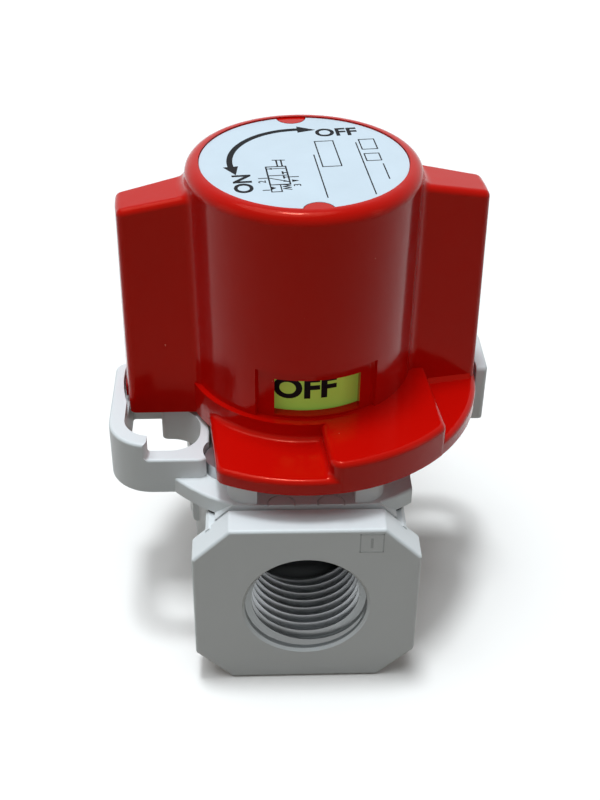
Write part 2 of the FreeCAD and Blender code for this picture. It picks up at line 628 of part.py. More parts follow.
low_rounded = rounded("low_ring_rounded", tall_rings, [(step_rim, "cast_round * 0.8")])
cover_casting = fuse("cover_casting", [
    round_plate, plate_strip, lobes, turret, spigot, tower, low_rounded])

pockets = [rod(f"screw_pocket_{number}", "head_radius + pocket_gap", "plate_top", "turret_top + 1", x, y)
           for number, (x, y) in enumerate(corners, start=1)]
pockets += [rod(f"screw_hole_{number}", "screw_radius + 0.15", "cover_floor - 1", "plate_top + 1", x, y)
            for number, (x, y) in enumerate(corners, start=1)]
pads = []
for name, low, high in (("front", "-cover_front - 1", "-lobe_front + pad_depth"),
                        ("rear", "lobe_front - pad_depth", "cover_front + 1")):
    pads.append(box(f"{name}_pad", ("-pad_width / 2", "pad_width / 2"), (low, high),
                    ("plate_top", "turret_top + 1")))
spigot_bore = rod("spigot_bore", "cam_radius + cam_room", "turret_top", "turret_top + 2")
tower_keep = rod("tower_keep", "tower_radius", "turret_top - 1", "turret_top + 3")
spigot_hollow = cut("spigot_hollow", spigot_bore, [tower_keep])
stem_bore = rod("stem_bore", hole, "cover_floor - 1", "spring_seat + 1")
spring_bore = rod("spring_bore", "spring_room", "spring_seat", "tower_top + 1")
pin_slot = box("pin_slot", ("-tower_radius - 1", "tower_radius + 1"),
               ("-pin_radius - slip_fit", "pin_radius + slip_fit"),
               ("pin_level - stem_travel - pin_radius - 1", "pin_level + pin_radius + 1.5"))
snap_groove = washer("snap_groove", "tower_radius - 0.7", "tower_radius + 1", "snap_floor",
                     "snap_floor + clip_thick + end_play")
marks = []
for number, x in enumerate(("-pad_mark_pitch / 2", "pad_mark_pitch / 2"), start=1):
    for side in ("-1", "1"):
        marks.append(turned(f"pad_mark_{number}_{'front' if side == '-1' else 'rear'}",
                            [("pad_mark - mark_line", "plate_top - mark_line"),
                             ("pad_mark", "plate_top - mark_line"),
                             ("pad_mark", "plate_top + 1"), ("pad_mark - mark_line", "plate_top + 1")],
                            x, f"{side} * (cover_front - 0.2)"))
cover = cut("cover", cover_casting, [left_hole_rounded, right_hole_rounded] + pockets + pads
            + [spigot_hollow, stem_bore, spring_bore, pin_slot, snap_groove] + marks)

cover_screws = [screw(f"cover_screw_{number}", x, y, "plate_top", "screw_length", "plate_top",
                      "plate_top + head_height", "head_radius")
                for number, (x, y) in enumerate(corners, start=1)]

# ---------------------------------------------------------------- indicator ring, washers, snap ring
indicator_ring = washer("indicator_ring", "ring_inner", "ring_outer", "turret_top",
                        "turret_top + indicator_height")
thrust_washer = washer("thrust_washer", "tower_radius + slip_fit", "cam_radius", "turret_top",
                       "turret_top + washer_thick")
top_washer = washer("top_washer", "tower_radius + slip_fit", "hub_bore - 0.2",
                    "cam_shoulder + end_play", "snap_floor")
snap_hoop = washer("snap_hoop", "tower_radius - 0.7 + slip_fit", "hub_bore - 0.5", "snap_floor",
                   "snap_floor + clip_thick")
snap_mouth = box("snap_mouth", ("-1.5", "1.5"), ("-hub_bore", "0"), ("snap_floor - 1", "snap_floor + 2"))
snap_ring = cut("snap_ring", snap_hoop, [snap_mouth])

# ---------------------------------------------------------------- stem, poppet and cross pin
shoulder = "poppet_top - seal_proud"
web_floor = "poppet_floor + seal_proud"
clip_floor = "spring_top + clip_thick"
stem_rod = turned("stem_rod", [
    ("0", f"{web_floor} - nut_height - 1"), ("stem_neck - 0.4", f"{web_floor} - nut_height - 1"),
    ("stem_neck", f"{web_floor} - nut_height - 0.6"), ("stem_neck", shoulder), ("stem_radius", shoulder),
    ("stem_radius", clip_floor), ("stem_radius - 0.5", clip_floor),
    ("stem_radius - 0.5", f"{clip_floor} + clip_thick"), ("stem_radius", f"{clip_floor} + clip_thick"),
    ("stem_radius", "stem_top - 0.4"), ("stem_radius - 0.4", "stem_top"), ("0", "stem_top")])


def cross_rod(name, radius, half):
    """A cylinder lying along X through the stem at the level of the cross pin."""
    cylinder = doc.addObject("Part::Cylinder", name)
    cylinder.Placement.Rotation = FreeCAD.Rotation(FreeCAD.Vector(0, 1, 0), 90)
    return bind(cylinder, {"Radius": radius, "Height": f"2 * {half}", "Placement.Base.x": f"-({half})",
                           "Placement.Base.z": "pin_level"})


valve_stem = cut("valve_stem", stem_rod, [cross_rod("pin_hole", "pin_radius", "stem_radius + 1")])
cross_pin = cross_rod("cross_pin", "pin_radius", "(cam_radius - pin_short)")
poppet_hole = "stem_neck + slip_fit"
groove_deep = "(seal_thick - seal_proud)"
poppet = turned("poppet", [
    (poppet_hole, web_floor), ("seal_inner", web_floor), ("seal_inner", f"{web_floor} + {groove_deep}"),
    ("seal_outer", f"{web_floor} + {groove_deep}"), ("seal_outer", web_floor), ("poppet_radius", web_floor),
    ("poppet_radius", shoulder), ("seal_outer", shoulder), ("seal_outer", f"{shoulder} - {groove_deep}"),
    ("seal_inner", f"{shoulder} - {groove_deep}"), ("seal_inner", shoulder), (poppet_hole, shoulder)])
upper_seal = washer("upper_seal", "seal_inner", "seal_outer", "poppet_top - seal_thick", "poppet_top")
lower_seal = washer("lower_seal", "seal_inner", "seal_outer", "poppet_floor", "poppet_floor + seal_thick")
nut_blank = doc.addObject("Part::Prism", "nut_blank")
bind(nut_blank, {"Circumradius": "nut_corner", "Height": "nut_height",
                 "Placement.Base.z": f"{web_floor} - nut_height"})
nut_bore = rod("nut_bore", "stem_neck", "poppet_floor - nut_height - 2", "seat_level")
poppet_nut = cut("poppet_nut", nut_blank, [nut_bore])
spring_washer = washer("spring_washer", "stem_radius + slip_fit", "spring_room - 0.25",
                       "spring_top", clip_floor)
clip_hoop = washer("clip_hoop", "stem_radius - 0.5", "spring_room - 0.6",
                   clip_floor, f"{clip_floor} + clip_thick")
clip_mouth = box("clip_mouth", ("-stem_radius + 0.8", "stem_radius - 0.8"), ("-spring_room", "0"),
                 ("spring_top", "stem_top + 1"))
stem_clip = cut("stem_clip", clip_hoop, [clip_mouth])

spring_path = doc.addObject("Part::Helix", "spring_path")
coil_low, coil_high = "(spring_seat + spring_wire)", "(spring_top - spring_wire)"
bind(spring_path, {
    "Pitch": f"({coil_high} - {coil_low}) / spring_turns", "Height": f"{coil_high} - {coil_low}",
    "Radius": "spring_radius", "Placement.Base.z": coil_low})
wire_circle = doc.addObject("Part::Circle", "wire_circle")
wire_circle.Placement.Rotation = FreeCAD.Rotation(FreeCAD.Vector(1, 0, 0), 90)
bind(wire_circle, {"Radius": "spring_wire", "Placement.Base.x": "spring_radius",
                   "Placement.Base.z": coil_low})
return_spring = sweep("return_spring", wire_circle, spring_path)

# ---------------------------------------------------------------- cam sleeve
sleeve = turned("sleeve", [
    ("tower_radius + slip_fit", "cam_floor"), ("cam_radius", "cam_floor"),
    ("cam_radius", "knob_ceiling - hub_thick"), ("hub_flange", "knob_ceiling - hub_thick"),
    ("hub_flange", "knob_ceiling"), ("hub_bore", "knob_ceiling"),
    ("hub_bore", "cam_shoulder"), ("tower_radius + slip_fit", "cam_shoulder")])
cam_path = doc.addObject("Part::Helix", "cam_path")
bind(cam_path, {"Pitch": "4 * stem_travel", "Height": "4 * stem_travel * (90 + 2 * cam_spare) / 360",
                "Radius": "(tower_radius + cam_radius) / 2"})
cam_section = doc.addObject("Part::Plane", "cam_section")
cam_section.Placement.Rotation = FreeCAD.Rotation(FreeCAD.Vector(1, 0, 0), 90)
bind(cam_section, {"Length": "cam_radius - tower_radius + 2", "Width": "cam_slot",
                   "Placement.Base.x": "tower_radius - 1", "Placement.Base.z": "-cam_slot / 2"})
cam_start = "(-90 - cam_spare)"
cam_foot = f"pin_level + 4 * stem_travel * ({cam_start} + rest_angle) / 360"
cam_slots = []
for number, half_turn in enumerate(("0", "180"), start=1):
    slot = turn(sweep(f"cam_slot_{number}", cam_section, cam_path), f"{cam_start} + {half_turn}")
    cam_slots.append(bind(slot, {"Placement.Base.z": cam_foot}))
knob_screw_places = []
for spoke in ("30", "150", "270"):
    knob_screw_places.append((f"knob_screw_ring * cos({spoke} deg)", f"knob_screw_ring * sin({spoke} deg)"))
hub_taps = [rod(f"hub_tap_{number}", "screw_radius", "knob_ceiling - hub_thick - 1",
                "knob_ceiling + 1", x, y)
            for number, (x, y) in enumerate(knob_screw_places, start=1)]
cam_sleeve = turn(cut("cam_sleeve", sleeve, cam_slots + hub_taps), "rest_angle")

# ---------------------------------------------------------------- knob, label and knob screws
shell_rod = rod("shell_rod", "knob_radius", "knob_floor", "knob_top")
shell = rounded("shell", shell_rod, [(lambda edge: at_level(edge, "knob_top"), "rim_round")])
ledge = rod("ledge", "ledge_radius", "knob_floor", "high_top")
low_disc = rod("low_disc", "flange_radius", "knob_floor", "low_top")
gap_span = ("knob_floor - 1", "low_top + 1")
gaps = [box("front_gap", ("-flange_radius - 1", "-gap_side"), ("-flange_radius", "0"), gap_span),
        box("rear_gap", ("gap_side", "flange_radius + 1"), ("0", "flange_radius"), gap_span)]
low_cut = cut("low_cut", low_disc, gaps)
low_flange = rounded("low_flange", low_cut, [
    (lambda edge: at_level(edge, "low_top") and middle(edge).Length > 0, "knob_round * 0.9"),
    (lambda edge: upright(edge) and abs(middle(edge).y) > 15, "knob_round * 2")])
high_blocks = []
for name, x_span, y_span in (("front", ("step_near", "step_far"), ("-flange_radius - 1", "0")),
                             ("rear", ("-step_far", "-step_near"), ("0", "flange_radius + 1"))):
    step_disc = rod(f"{name}_step_disc", "flange_radius + 0.05", "knob_floor", "high_top")
    step_area = box(f"{name}_step_area", x_span, y_span, ("knob_floor", "high_top"))
    step = common(f"{name}_step", [step_disc, step_area])
    high_blocks.append(rounded(f"{name}_step_rounded", step, [
        (lambda edge: at_level(edge, "high_top") and abs(middle(edge).y) > 1, "knob_round"),
        (lambda edge: upright(edge) and abs(middle(edge).y) > 10, "knob_round * 2")]))


def wing_tapers(name, low_half, high_half, low, high):
    """Two wedges along X, each turned so that one of its sides is a side of both wings."""
    tapers = []
    for number, way in enumerate(("1", "-1"), start=1):
        taper = doc.addObject("Part::Wedge", f"{name}_taper_{number}")
        taper.Placement.Rotation = FreeCAD.Rotation(FreeCAD.Vector(1, 0, 0), 90)
        bind(taper, {"Xmin": "-wing_reach - 3", "Xmax": "wing_reach + 3", "X2min": "-wing_reach - 3",
                     "X2max": "wing_reach + 3", "Zmin": f"-{low_half}", "Zmax": low_half,
                     "Z2min": f"-{high_half}", "Z2max": high_half, "Ymin": "0",
                     "Ymax": f"{high} - ({low})", "Placement.Base.z": low})
        tapers.append(turn(group(f"{name}_turned_{number}", [taper]), f"{way} * wing_narrowing"))
    return tapers


foot_half = "(wing_foot / 2 + knob_radius * tan(wing_narrowing * 1 deg))"
crest_half = "(wing_crest / 2 + knob_radius * tan(wing_narrowing * 1 deg))"
wing_turn = doc.addObject("Part::Cone", "wing_turn")
bind(wing_turn, {"Radius1": "wing_reach + 0.2", "Radius2": "wing_reach - 0.1",
                 "Height": "knob_top - knob_floor", "Placement.Base.z": "knob_floor"})
wing_side = slab("wing_side", [
    ("-wing_reach - 1", "knob_floor"), ("wing_reach + 1", "knob_floor"), ("wing_reach + 1", "wing_tip"),
    ("knob_radius", "wing_root"), ("-knob_radius", "wing_root"), ("-wing_reach - 1", "wing_tip")],
    "-wing_foot", "wing_foot")
wing_blank = common("wing_blank", wing_tapers("wing", foot_half, crest_half, "knob_floor", "knob_top")
                    + [wing_turn, wing_side])
cove_span = ("low_top - 0.1", "low_top + wing_cove")
cove_disc = rod("cove_disc", "wing_reach - 0.4", *cove_span)
cove_wedges = wing_tapers("cove", f"({foot_half} + wing_cove)", f"({foot_half} - 0.15)", *cove_span)
bare_levels = ("knob_floor", "high_top")
bare_sides = [box("cove_gap_front", ("-flange_radius", "0"), ("-flange_radius", "0"), bare_levels),
              box("cove_gap_rear", ("0", "flange_radius"), ("0", "flange_radius"), bare_levels)]
wing_cove = cut("wing_cove", common("cove_all_round", cove_wedges + [cove_disc]), bare_sides)


def wing_edge(edge):
    """Whether an edge runs along a wing's top or down its outer end."""
    point = middle(edge)
    outer = abs(point.x) > value_of("wing_reach - 1") and abs(point.z - value_of("knob_floor")) > 1
    return point.z > value_of("wing_tip - wing_slope") or outer and abs(point.y) > 1


wings = rounded("wings", wing_blank, [(wing_edge, "knob_round * 1.2")])
knob_joined = fuse("knob_joined", [shell, ledge, low_flange, wings, wing_cove] + high_blocks)


def tray_foot(edge):
    """Whether an edge lies at the foot of the two walls behind a finger rest of the flange."""
    point = middle(edge)
    inside = math.hypot(point.x, point.y) < value_of("flange_radius - 1.5")
    return inside and abs(point.x) < value_of("ledge_radius / 2") and at_level(edge, "low_top")


def wing_corner(edge):
    """Whether an edge runs up the corner between a wing and the cylinder."""
    ends = [vertex.Point for vertex in edge.Vertexes]
    close = all(abs(math.hypot(end.x, end.y) - value_of("knob_radius")) < 0.05 for end in ends)
    return len(ends) == 2 and close and abs(ends[1].z - ends[0].z) > 10


knob_outer = rounded("knob_outer", knob_joined, [
    (tray_foot, "foot_round"), (wing_corner, "foot_round * 1.8")])


def notch_rods(name, radius, high):
    """Two upright rods at the front and rear edge of the label disc."""
    return [rod(f"{name}_{end}", radius, "label_seat - 1", high, "0", y)
            for end, y in (("front", "-label_radius"), ("rear", "label_radius"))]


label_seat_core = rod("label_seat_core", "label_radius", "label_seat", "knob_top + 1")
knob_cores = [rod("knob_bore_core", "knob_bore", "knob_floor - 1", "knob_ceiling"),
              cut("label_core", label_seat_core, notch_rods("label_boss", "label_notch", "knob_top - 0.2"))]
recess_edge = "sqrt((knob_radius - recess_deep) ^ 2 - (window_half + recess_side) ^ 2)"
for name, side, window_span in (("front", "-1", ("-window_half", "window_half + window_shift")),
                                ("rear", "1", ("-window_half - window_shift", "window_half"))):
    window_depth = ("-knob_radius - 1", "-5") if name == "front" else ("5", "knob_radius + 1")
    knob_cores.append(box(f"{name}_window", window_span, window_depth,
                          ("high_top + window_low", "high_top + window_low + window_tall")))
    left, right = f"{window_span[0]} - recess_side", f"{window_span[1]} + recess_side"
    flare = f"(knob_radius + 1 - {recess_edge})"
    recess_area = padded(f"{name}_recess_area", [
        (left, f"{side} * {recess_edge}"), (right, f"{side} * {recess_edge}"),
        (f"{right} + {flare}", f"{side} * (knob_radius + 1)"),
        (f"{left} - {flare}", f"{side} * (knob_radius + 1)")], "high_top", "high_top + recess_tall")
    recess_floor = rod(f"{name}_recess_floor", "knob_radius - recess_deep",
                       "high_top - 1", "high_top + recess_tall + 1")
    knob_cores.append(cut(f"{name}_recess", recess_area, [recess_floor]))
for name, x_span in (("left", ("-wing_reach + 2", "-ledge_radius - 1")),
                     ("right", ("ledge_radius + 1", "wing_reach - 2"))):
    knob_cores.append(box(f"{name}_wing_core", x_span, ("-wing_core / 2", "wing_core / 2"),
                          ("knob_floor - 1", "wing_tip - wing_core")))
sink = "(head_radius - screw_radius)"
for number, (x, y) in enumerate(knob_screw_places, start=1):
    knob_cores.append(turned(f"knob_screw_hole_{number}", [
        ("0", "knob_ceiling - 1"), ("screw_radius + 0.2", "knob_ceiling - 1"),
        ("screw_radius + 0.2", f"label_seat - {sink}"), ("head_radius + 0.2", "label_seat"),
        ("head_radius + 0.2", "label_seat + 0.2"), ("0", "label_seat + 0.2")], x, y))
knob = turn(cut("knob", knob_outer, knob_cores), "rest_angle")

disc = rod("disc", "label_radius - 0.1", "label_seat", "label_seat + label_thick")
disc_notches = notch_rods("disc_notch", "label_notch + 0.1", "knob_top")
label_disc = turn(cut("label_disc", disc, disc_notches), "rest_angle")
knob_screws = []
for number, (x, y) in enumerate(knob_screw_places, start=1):
    knob_screw = screw(f"knob_screw_{number}", x, y, "label_seat", "knob_screw_length",
                       f"label_seat - {sink}", "label_seat - slip_fit", "screw_radius + slip_fit / 4")
    knob_screws.append(turn(knob_screw, "rest_angle"))

# ---------------------------------------------------------------- check and write every sub-part
NODES = [
    valve_body, seat_ring, stem_guide, guide_o_ring, stem_o_ring, cover_gasket, cover, indicator_ring,
    thrust_washer, top_washer, snap_ring, return_spring, valve_stem, cross_pin, poppet, upper_seal,
    lower_seal, poppet_nut, spring_washer, stem_clip, cam_sleeve, knob, label_disc]
NODES += cover_screws + knob_screws

doc.recompute()
broken = [thing.Label for thing in doc.Objects if "Invalid" in thing.State or "Error" in thing.State]
if broken:
    raise RuntimeError("these objects did not compute: " + ", ".join(broken))
for node in NODES:
    if node.Shape.isNull() or not node.Shape.isValid() or not node.Shape.Solids:
        raise RuntimeError(node.Label + " has no valid solid")

os.makedirs("parts", exist_ok=True)
for node in NODES:
    node.Shape.exportStep(f"parts/{node.Label}.step")
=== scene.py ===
"""Looks of a hand-turned shut-off valve: paint and metal finishes, port threads, the return spring,
the printed label, the indicator's words, the port numbers and the stage that it stands on."""

import json
import math

import bmesh
import bpy
from bpy.props import FloatProperty, FloatVectorProperty, IntProperty, PointerProperty
from mathutils import Matrix, Vector


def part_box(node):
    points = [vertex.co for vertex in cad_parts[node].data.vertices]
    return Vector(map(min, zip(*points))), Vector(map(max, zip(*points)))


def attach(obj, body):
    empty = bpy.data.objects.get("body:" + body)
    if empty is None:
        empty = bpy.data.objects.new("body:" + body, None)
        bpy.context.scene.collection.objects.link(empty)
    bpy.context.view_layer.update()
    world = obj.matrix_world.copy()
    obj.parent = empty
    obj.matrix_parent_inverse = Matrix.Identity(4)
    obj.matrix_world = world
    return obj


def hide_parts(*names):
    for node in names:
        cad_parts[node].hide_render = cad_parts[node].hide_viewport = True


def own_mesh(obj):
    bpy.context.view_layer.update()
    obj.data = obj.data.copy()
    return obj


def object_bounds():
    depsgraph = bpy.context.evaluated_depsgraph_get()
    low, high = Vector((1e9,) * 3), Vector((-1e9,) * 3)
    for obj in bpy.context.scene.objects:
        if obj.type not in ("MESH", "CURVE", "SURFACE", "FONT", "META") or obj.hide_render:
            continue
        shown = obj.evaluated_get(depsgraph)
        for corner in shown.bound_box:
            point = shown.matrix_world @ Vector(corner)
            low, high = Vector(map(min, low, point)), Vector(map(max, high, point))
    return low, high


bl_info = {
    "name": "Shut-off valve looks",
    "version": (1, 0, 0),
    "blender": (4, 5, 0),
    "location": "3D View > Sidebar > Valve",
    "description": "Finishes, threads, spring and printing for a shut-off valve with a turn knob",
    "category": "Object",
}

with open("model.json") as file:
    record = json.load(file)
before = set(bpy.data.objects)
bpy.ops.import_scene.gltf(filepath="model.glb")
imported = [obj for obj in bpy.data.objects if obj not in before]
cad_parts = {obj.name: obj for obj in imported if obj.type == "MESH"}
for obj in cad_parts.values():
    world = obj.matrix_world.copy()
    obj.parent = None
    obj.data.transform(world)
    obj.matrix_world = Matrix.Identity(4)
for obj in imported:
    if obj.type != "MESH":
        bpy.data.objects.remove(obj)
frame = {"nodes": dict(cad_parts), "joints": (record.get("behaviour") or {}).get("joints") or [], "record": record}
BOX_LOW, BOX_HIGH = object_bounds()
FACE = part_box("valve_body")[1].y
LABEL_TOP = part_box("label_disc")[1].z
PORT_DEPTH = 0.0140  # machined depth of a port from its face
MOUNTS = {mount["name"]: mount for mount in frame["record"]["mounts"]}
JOINTS = {joint["name"]: joint for joint in frame["joints"]}
SUNK = 0.00001  # how far a printed layer's underside lies in its ground
REST_TURN = -math.radians(JOINTS["knob_turn"]["range_deg"][0])  # knob's angle from its exhaust stop


# ------------------------------------------------------------------ sizes and colours a user would change
def length(name, default, description):
    return FloatProperty(name=name, default=default, description=description, unit="LENGTH", min=0.0)


def colour(name, default, description):
    return FloatVectorProperty(name=name, default=default, description=description, subtype="COLOR",
                               size=3, min=0.0, max=1.0)


class ThreadSizes(bpy.types.PropertyGroup):
    """Sizes of the pipe threads in the ports"""
    pitch: length("Pitch", 0.001411, "Advance of the thread in one turn")
    crest: length("Crest depth", 0.00085, "How far the crest stands in from the root at the mouth")
    flat: length("Crest flat", 0.00022, "Width of the flat on top of the crest")
    taper: FloatProperty(name="Taper", default=1 / 16, min=0.0,
                         description="Loss of diameter for each unit of depth")
    buried: length("Buried", 0.0003, "How far the thread's base lies inside the wall of the bore")
    run_out: length("Run-out", 0.0002, "Bore left plain at the blind end")
    steps: IntProperty(name="Steps", default=72, min=12, description="Steps in one turn of the thread")


class SpringSizes(bpy.types.PropertyGroup):
    """Sizes of the spring that lifts the stem"""
    wire: length("Wire radius", 0.00035, "Radius of the wire")
    turns: IntProperty(name="Turns", default=5, min=1, description="Turns from the seat to the washer")
    slack: length("Slack", 0.00005, "Gap left under the washer when the stem is down")
    steps: IntProperty(name="Steps", default=40, min=12, description="Steps in one turn of the wire")


class PrintSizes(bpy.types.PropertyGroup):
    """Sizes of the words, arrow and symbol"""
    ink: length("Ink", 0.00003, "Thickness of the printed layer")
    arc_radius: length("Arrow radius", 0.00945, "Radius of the curved arrow on the label")
    arc_width: length("Arrow width", 0.00075, "Width of the arrow's shaft at its broad end")
    head: length("Arrow head", 0.0024, "Length of the arrow's heads")
    label_letter: length("Label letters", 0.0024, "Height of the words on the label")
    window_letter: length("Window letters", 0.0033, "Height of the words on the indicator")
    number: length("Numbers", 0.0017, "Height of the port numbers")
    number_frame: length("Number frame", 0.0030, "Side of the square round a port number")
    slice: length("Slice", 0.0005, "Width of the upright slices that bend a word round the indicator")
    symbol: length("Symbol", 0.0025, "Side of one square of the flow symbol")
    line: length("Fine line", 0.00016, "Width of the fine lines")


class FinishColours(bpy.types.PropertyGroup):
    """Colours of the valve's finishes"""
    red: colour("Red paint", (0.56, 0.0035, 0.0012), "Gloss paint of the knob")
    red_deep: colour("Deep red", (0.50, 0.0025, 0.0008), "Where the red paint lies thick")
    grey: colour("Grey paint", (0.74, 0.76, 0.76), "Paint of the body and cover")
    grey_deep: colour("Deep grey", (0.69, 0.71, 0.71), "Where the grey paint lies thick")
    label: colour("Label", (0.64, 0.73, 0.80), "Ground of the label")
    ink: colour("Ink", (0.012, 0.012, 0.014), "Printing ink")
    indicator: colour("Indicator", (0.54, 1.0, 0.14), "Moulded ring behind the window")
    steel: colour("Steel", (0.56, 0.56, 0.57), "Turned steel")
    zinc: colour("Zinc plate", (0.50, 0.51, 0.53), "Screws")
    brass: colour("Brass", (0.70, 0.50, 0.20), "Turned brass")
    alloy: colour("Bare alloy", (0.30, 0.31, 0.31), "Machined casting in the ports")
    # Painted reflection: the thread down the bore is brighter than the bare alloy at its mouth.
    thread: colour("Cut thread", (0.62, 0.64, 0.66), "Thread past the first turn from the mouth")
    rubber: colour("Rubber", (0.020, 0.020, 0.021), "Seals and gasket")
    acetal: colour("Acetal", (0.70, 0.69, 0.64), "Moulded sleeve and washer")
    speck: colour("Dust speck", (0.75, 0.16, 0.12), "Specks of dust under the red paint")
    # Painted shade: a near-black colour for the passages far behind the ports, standing in for the shade there.
    passage_shade: colour("Passage", (0.004, 0.004, 0.004), "Unlit passages behind the ports")


class StageSettings(bpy.types.PropertyGroup):
    """Floor, light and camera"""
    floor: colour("Floor", (1.0, 0.95, 0.91), "Floor as it is seen")
    bounce: colour("Bounce", (0.20, 0.17, 0.138), "Floor as it lights the valve")
    sky: FloatProperty(name="Sky", default=0.19, min=0.0, description="Strength of the even light")
    sky_tint: colour("Sky tint", (0.92, 0.97, 1.0), "Tint of the even light")
    overhead: FloatProperty(name="Overhead", default=1.5, min=0.0,
                            description="Strength of the wide light from above")
    softness: FloatProperty(name="Softness", default=0.85, min=0.0, subtype="ANGLE", unit="ROTATION",
                            description="Angle across the wide light from above")
    glint: FloatProperty(name="Glint", default=1.5, min=0.0,
                         description="Strength of the narrow light from above")
    glint_softness: FloatProperty(name="Glint softness", default=0.18, min=0.0, subtype="ANGLE",
                                  unit="ROTATION", description="Angle across the narrow light from above")
    side: FloatProperty(name="Side", default=0.12, min=0.0, description="Power of the left panel in watts")


class ValveLooks(bpy.types.PropertyGroup):
    """All settings of the valve's looks"""
    thread: PointerProperty(type=ThreadSizes)
    spring: PointerProperty(type=SpringSizes)
    printing: PointerProperty(type=PrintSizes)
    colours: PointerProperty(type=FinishColours)
    stage: PointerProperty(type=StageSettings)


# ------------------------------------------------------------------ finishes
class Finish:
    """A material under construction: one Principled shader fed from object coordinates."""

    def __init__(self, name, roughness, metallic=0.0, specular=0.5, tint=(1.0, 1.0, 1.0)):
        self.material = bpy.data.materials.new(name)
        self.material.use_nodes = True
        self.nodes = self.material.node_tree.nodes
        self.links = self.material.node_tree.links
        self.shader = self.nodes["Principled BSDF"]
        self.set(self.shader, {"Roughness": roughness, "Metallic": metallic, "Specular IOR Level": specular,
                               "Specular Tint": (*tint, 1.0)})
        self.place = self.nodes.new("ShaderNodeTexCoord").outputs["Object"]

    def set(self, node, values):
        for socket, value in values.items():
            node.inputs[socket].default_value = value

    def add(self, kind, values=None, links=None, **settings):
        node = self.nodes.new(kind)
        for setting, value in settings.items():
            setattr(node, setting, value)
        self.set(node, values or {})
        for socket, source in (links or {}).items():
            self.links.new(source, node.inputs[socket])
        return node

    def join(self, source, socket):
        self.links.new(source, self.shader.inputs[socket])

    def noise(self, scale, detail=3.0, roughness=0.5):
        return self.add("ShaderNodeTexNoise", {"Scale": scale, "Detail": detail, "Roughness": roughness},
                        {"Vector": self.place}).outputs["Fac"]

    def ramp(self, source, low, high):
        """A soft step from 0 to 1 as the source goes from low to high."""
        return self.add("ShaderNodeMapRange", {"From Min": low, "From Max": high}, {"Value": source},
                        interpolation_type="SMOOTHSTEP").outputs["Result"]

    def span(self, source, low, high):
        """The source's range of 0 to 1 stretched from low to high."""
        node = self.add("ShaderNodeMapRange", {"To Min": low, "To Max": high}, {"Value": source})
        return node.outputs["Result"]

    def blend(self, factor, first, second):
        """One colour into another by a factor; either may be a colour or a socket."""
        node = self.add("ShaderNodeMix", links={"Factor": factor}, data_type="RGBA")
        colour_sockets = [socket for socket in node.inputs if socket.type == "RGBA"]
        for socket, value in zip(colour_sockets, (first, second)):
            if isinstance(value, bpy.types.NodeSocket):
                self.links.new(value, socket)
            else:
                socket.default_value = (*value, 1.0)
        return next(socket for socket in node.outputs if socket.type == "RGBA")

    def maths(self, operation, *values):
        node = self.add("ShaderNodeMath", operation=operation)
        for index, value in enumerate(values):
            if isinstance(value, bpy.types.NodeSocket):
                self.links.new(value, node.inputs[index])
            else:
                node.inputs[index].default_value = value
        return node.outputs[0]

    def bump(self, height, distance, strength=1.0, under=None):
        node = self.add("ShaderNodeBump", {"Strength": strength, "Distance": distance}, {"Height": height})
        if under is not None:
            self.links.new(under, node.inputs["Normal"])
        return node.outputs["Normal"]


def shade(tint, share):
    """The same tint with each channel cut to a share."""
    return tuple(channel * share for channel in tint)


def red_paint(colours):
    """Gloss stove enamel with a faint orange peel and a few specks of dust under it."""
    paint = Finish("red gloss paint", 0.2, specular=0.28, tint=(1.0, 0.26, 0.16))
    patches = paint.noise(scale=70.0, detail=4.0)
    ground = paint.blend(patches, colours.red_deep, colours.red)
    specks = paint.ramp(paint.noise(scale=620.0, detail=2.0, roughness=0.8), low=0.765, high=0.785)
    paint.join(paint.blend(specks, ground, colours.speck), "Base Color")
    paint.join(paint.span(paint.noise(scale=260.0), low=0.09, high=0.19), "Roughness")
    peel = paint.bump(paint.noise(scale=520.0, detail=2.0), distance=0.00006, strength=0.35)
    paint.join(paint.bump(specks, distance=0.00005, strength=0.6, under=peel), "Normal")
    return paint.material


def port_masks(finish):
    """Two masks of the casting: 1 on the machined walls of the ports, and 1 far down its passages, where painted
    shade goes.
    """
    split = finish.add("ShaderNodeSeparateXYZ", links={"Vector": finish.place}).outputs
    up = finish.maths("SUBTRACT", split["Z"], MOUNTS["port_inlet"]["pos_m"][2])
    bore = MOUNTS["port_inlet"]["dims"]["r_mm"] / 1000
    exhaust = MOUNTS["port_exhaust"]["dims"]["r_mm"] / 1000
    from_port = finish.maths("SQRT", finish.maths("ADD", finish.maths("POWER", split["X"], 2.0),
                                                  finish.maths("POWER", up, 2.0)))
    from_stem = finish.maths("SQRT", finish.maths("ADD", finish.maths("POWER", split["X"], 2.0),
                                                  finish.maths("POWER", split["Y"], 2.0)))
    port_slack, exhaust_slack = 0.00005, 0.0001  # the masks reach this far past the bores' walls
    in_port = finish.maths("LESS_THAN", from_port, bore + port_slack)
    in_exhaust = finish.maths("LESS_THAN", from_stem, exhaust + exhaust_slack)
    machined = finish.maths("MAXIMUM", in_port, in_exhaust)
    depth = finish.maths("SUBTRACT", FACE, finish.maths("ABSOLUTE", split["Y"]))
    deep = finish.ramp(depth, low=PORT_DEPTH - 0.0025, high=PORT_DEPTH + 0.0008)
    above_exhaust = finish.ramp(split["Z"], low=0.0060, high=0.0080)
    return machined, finish.maths("MULTIPLY", deep, above_exhaust)


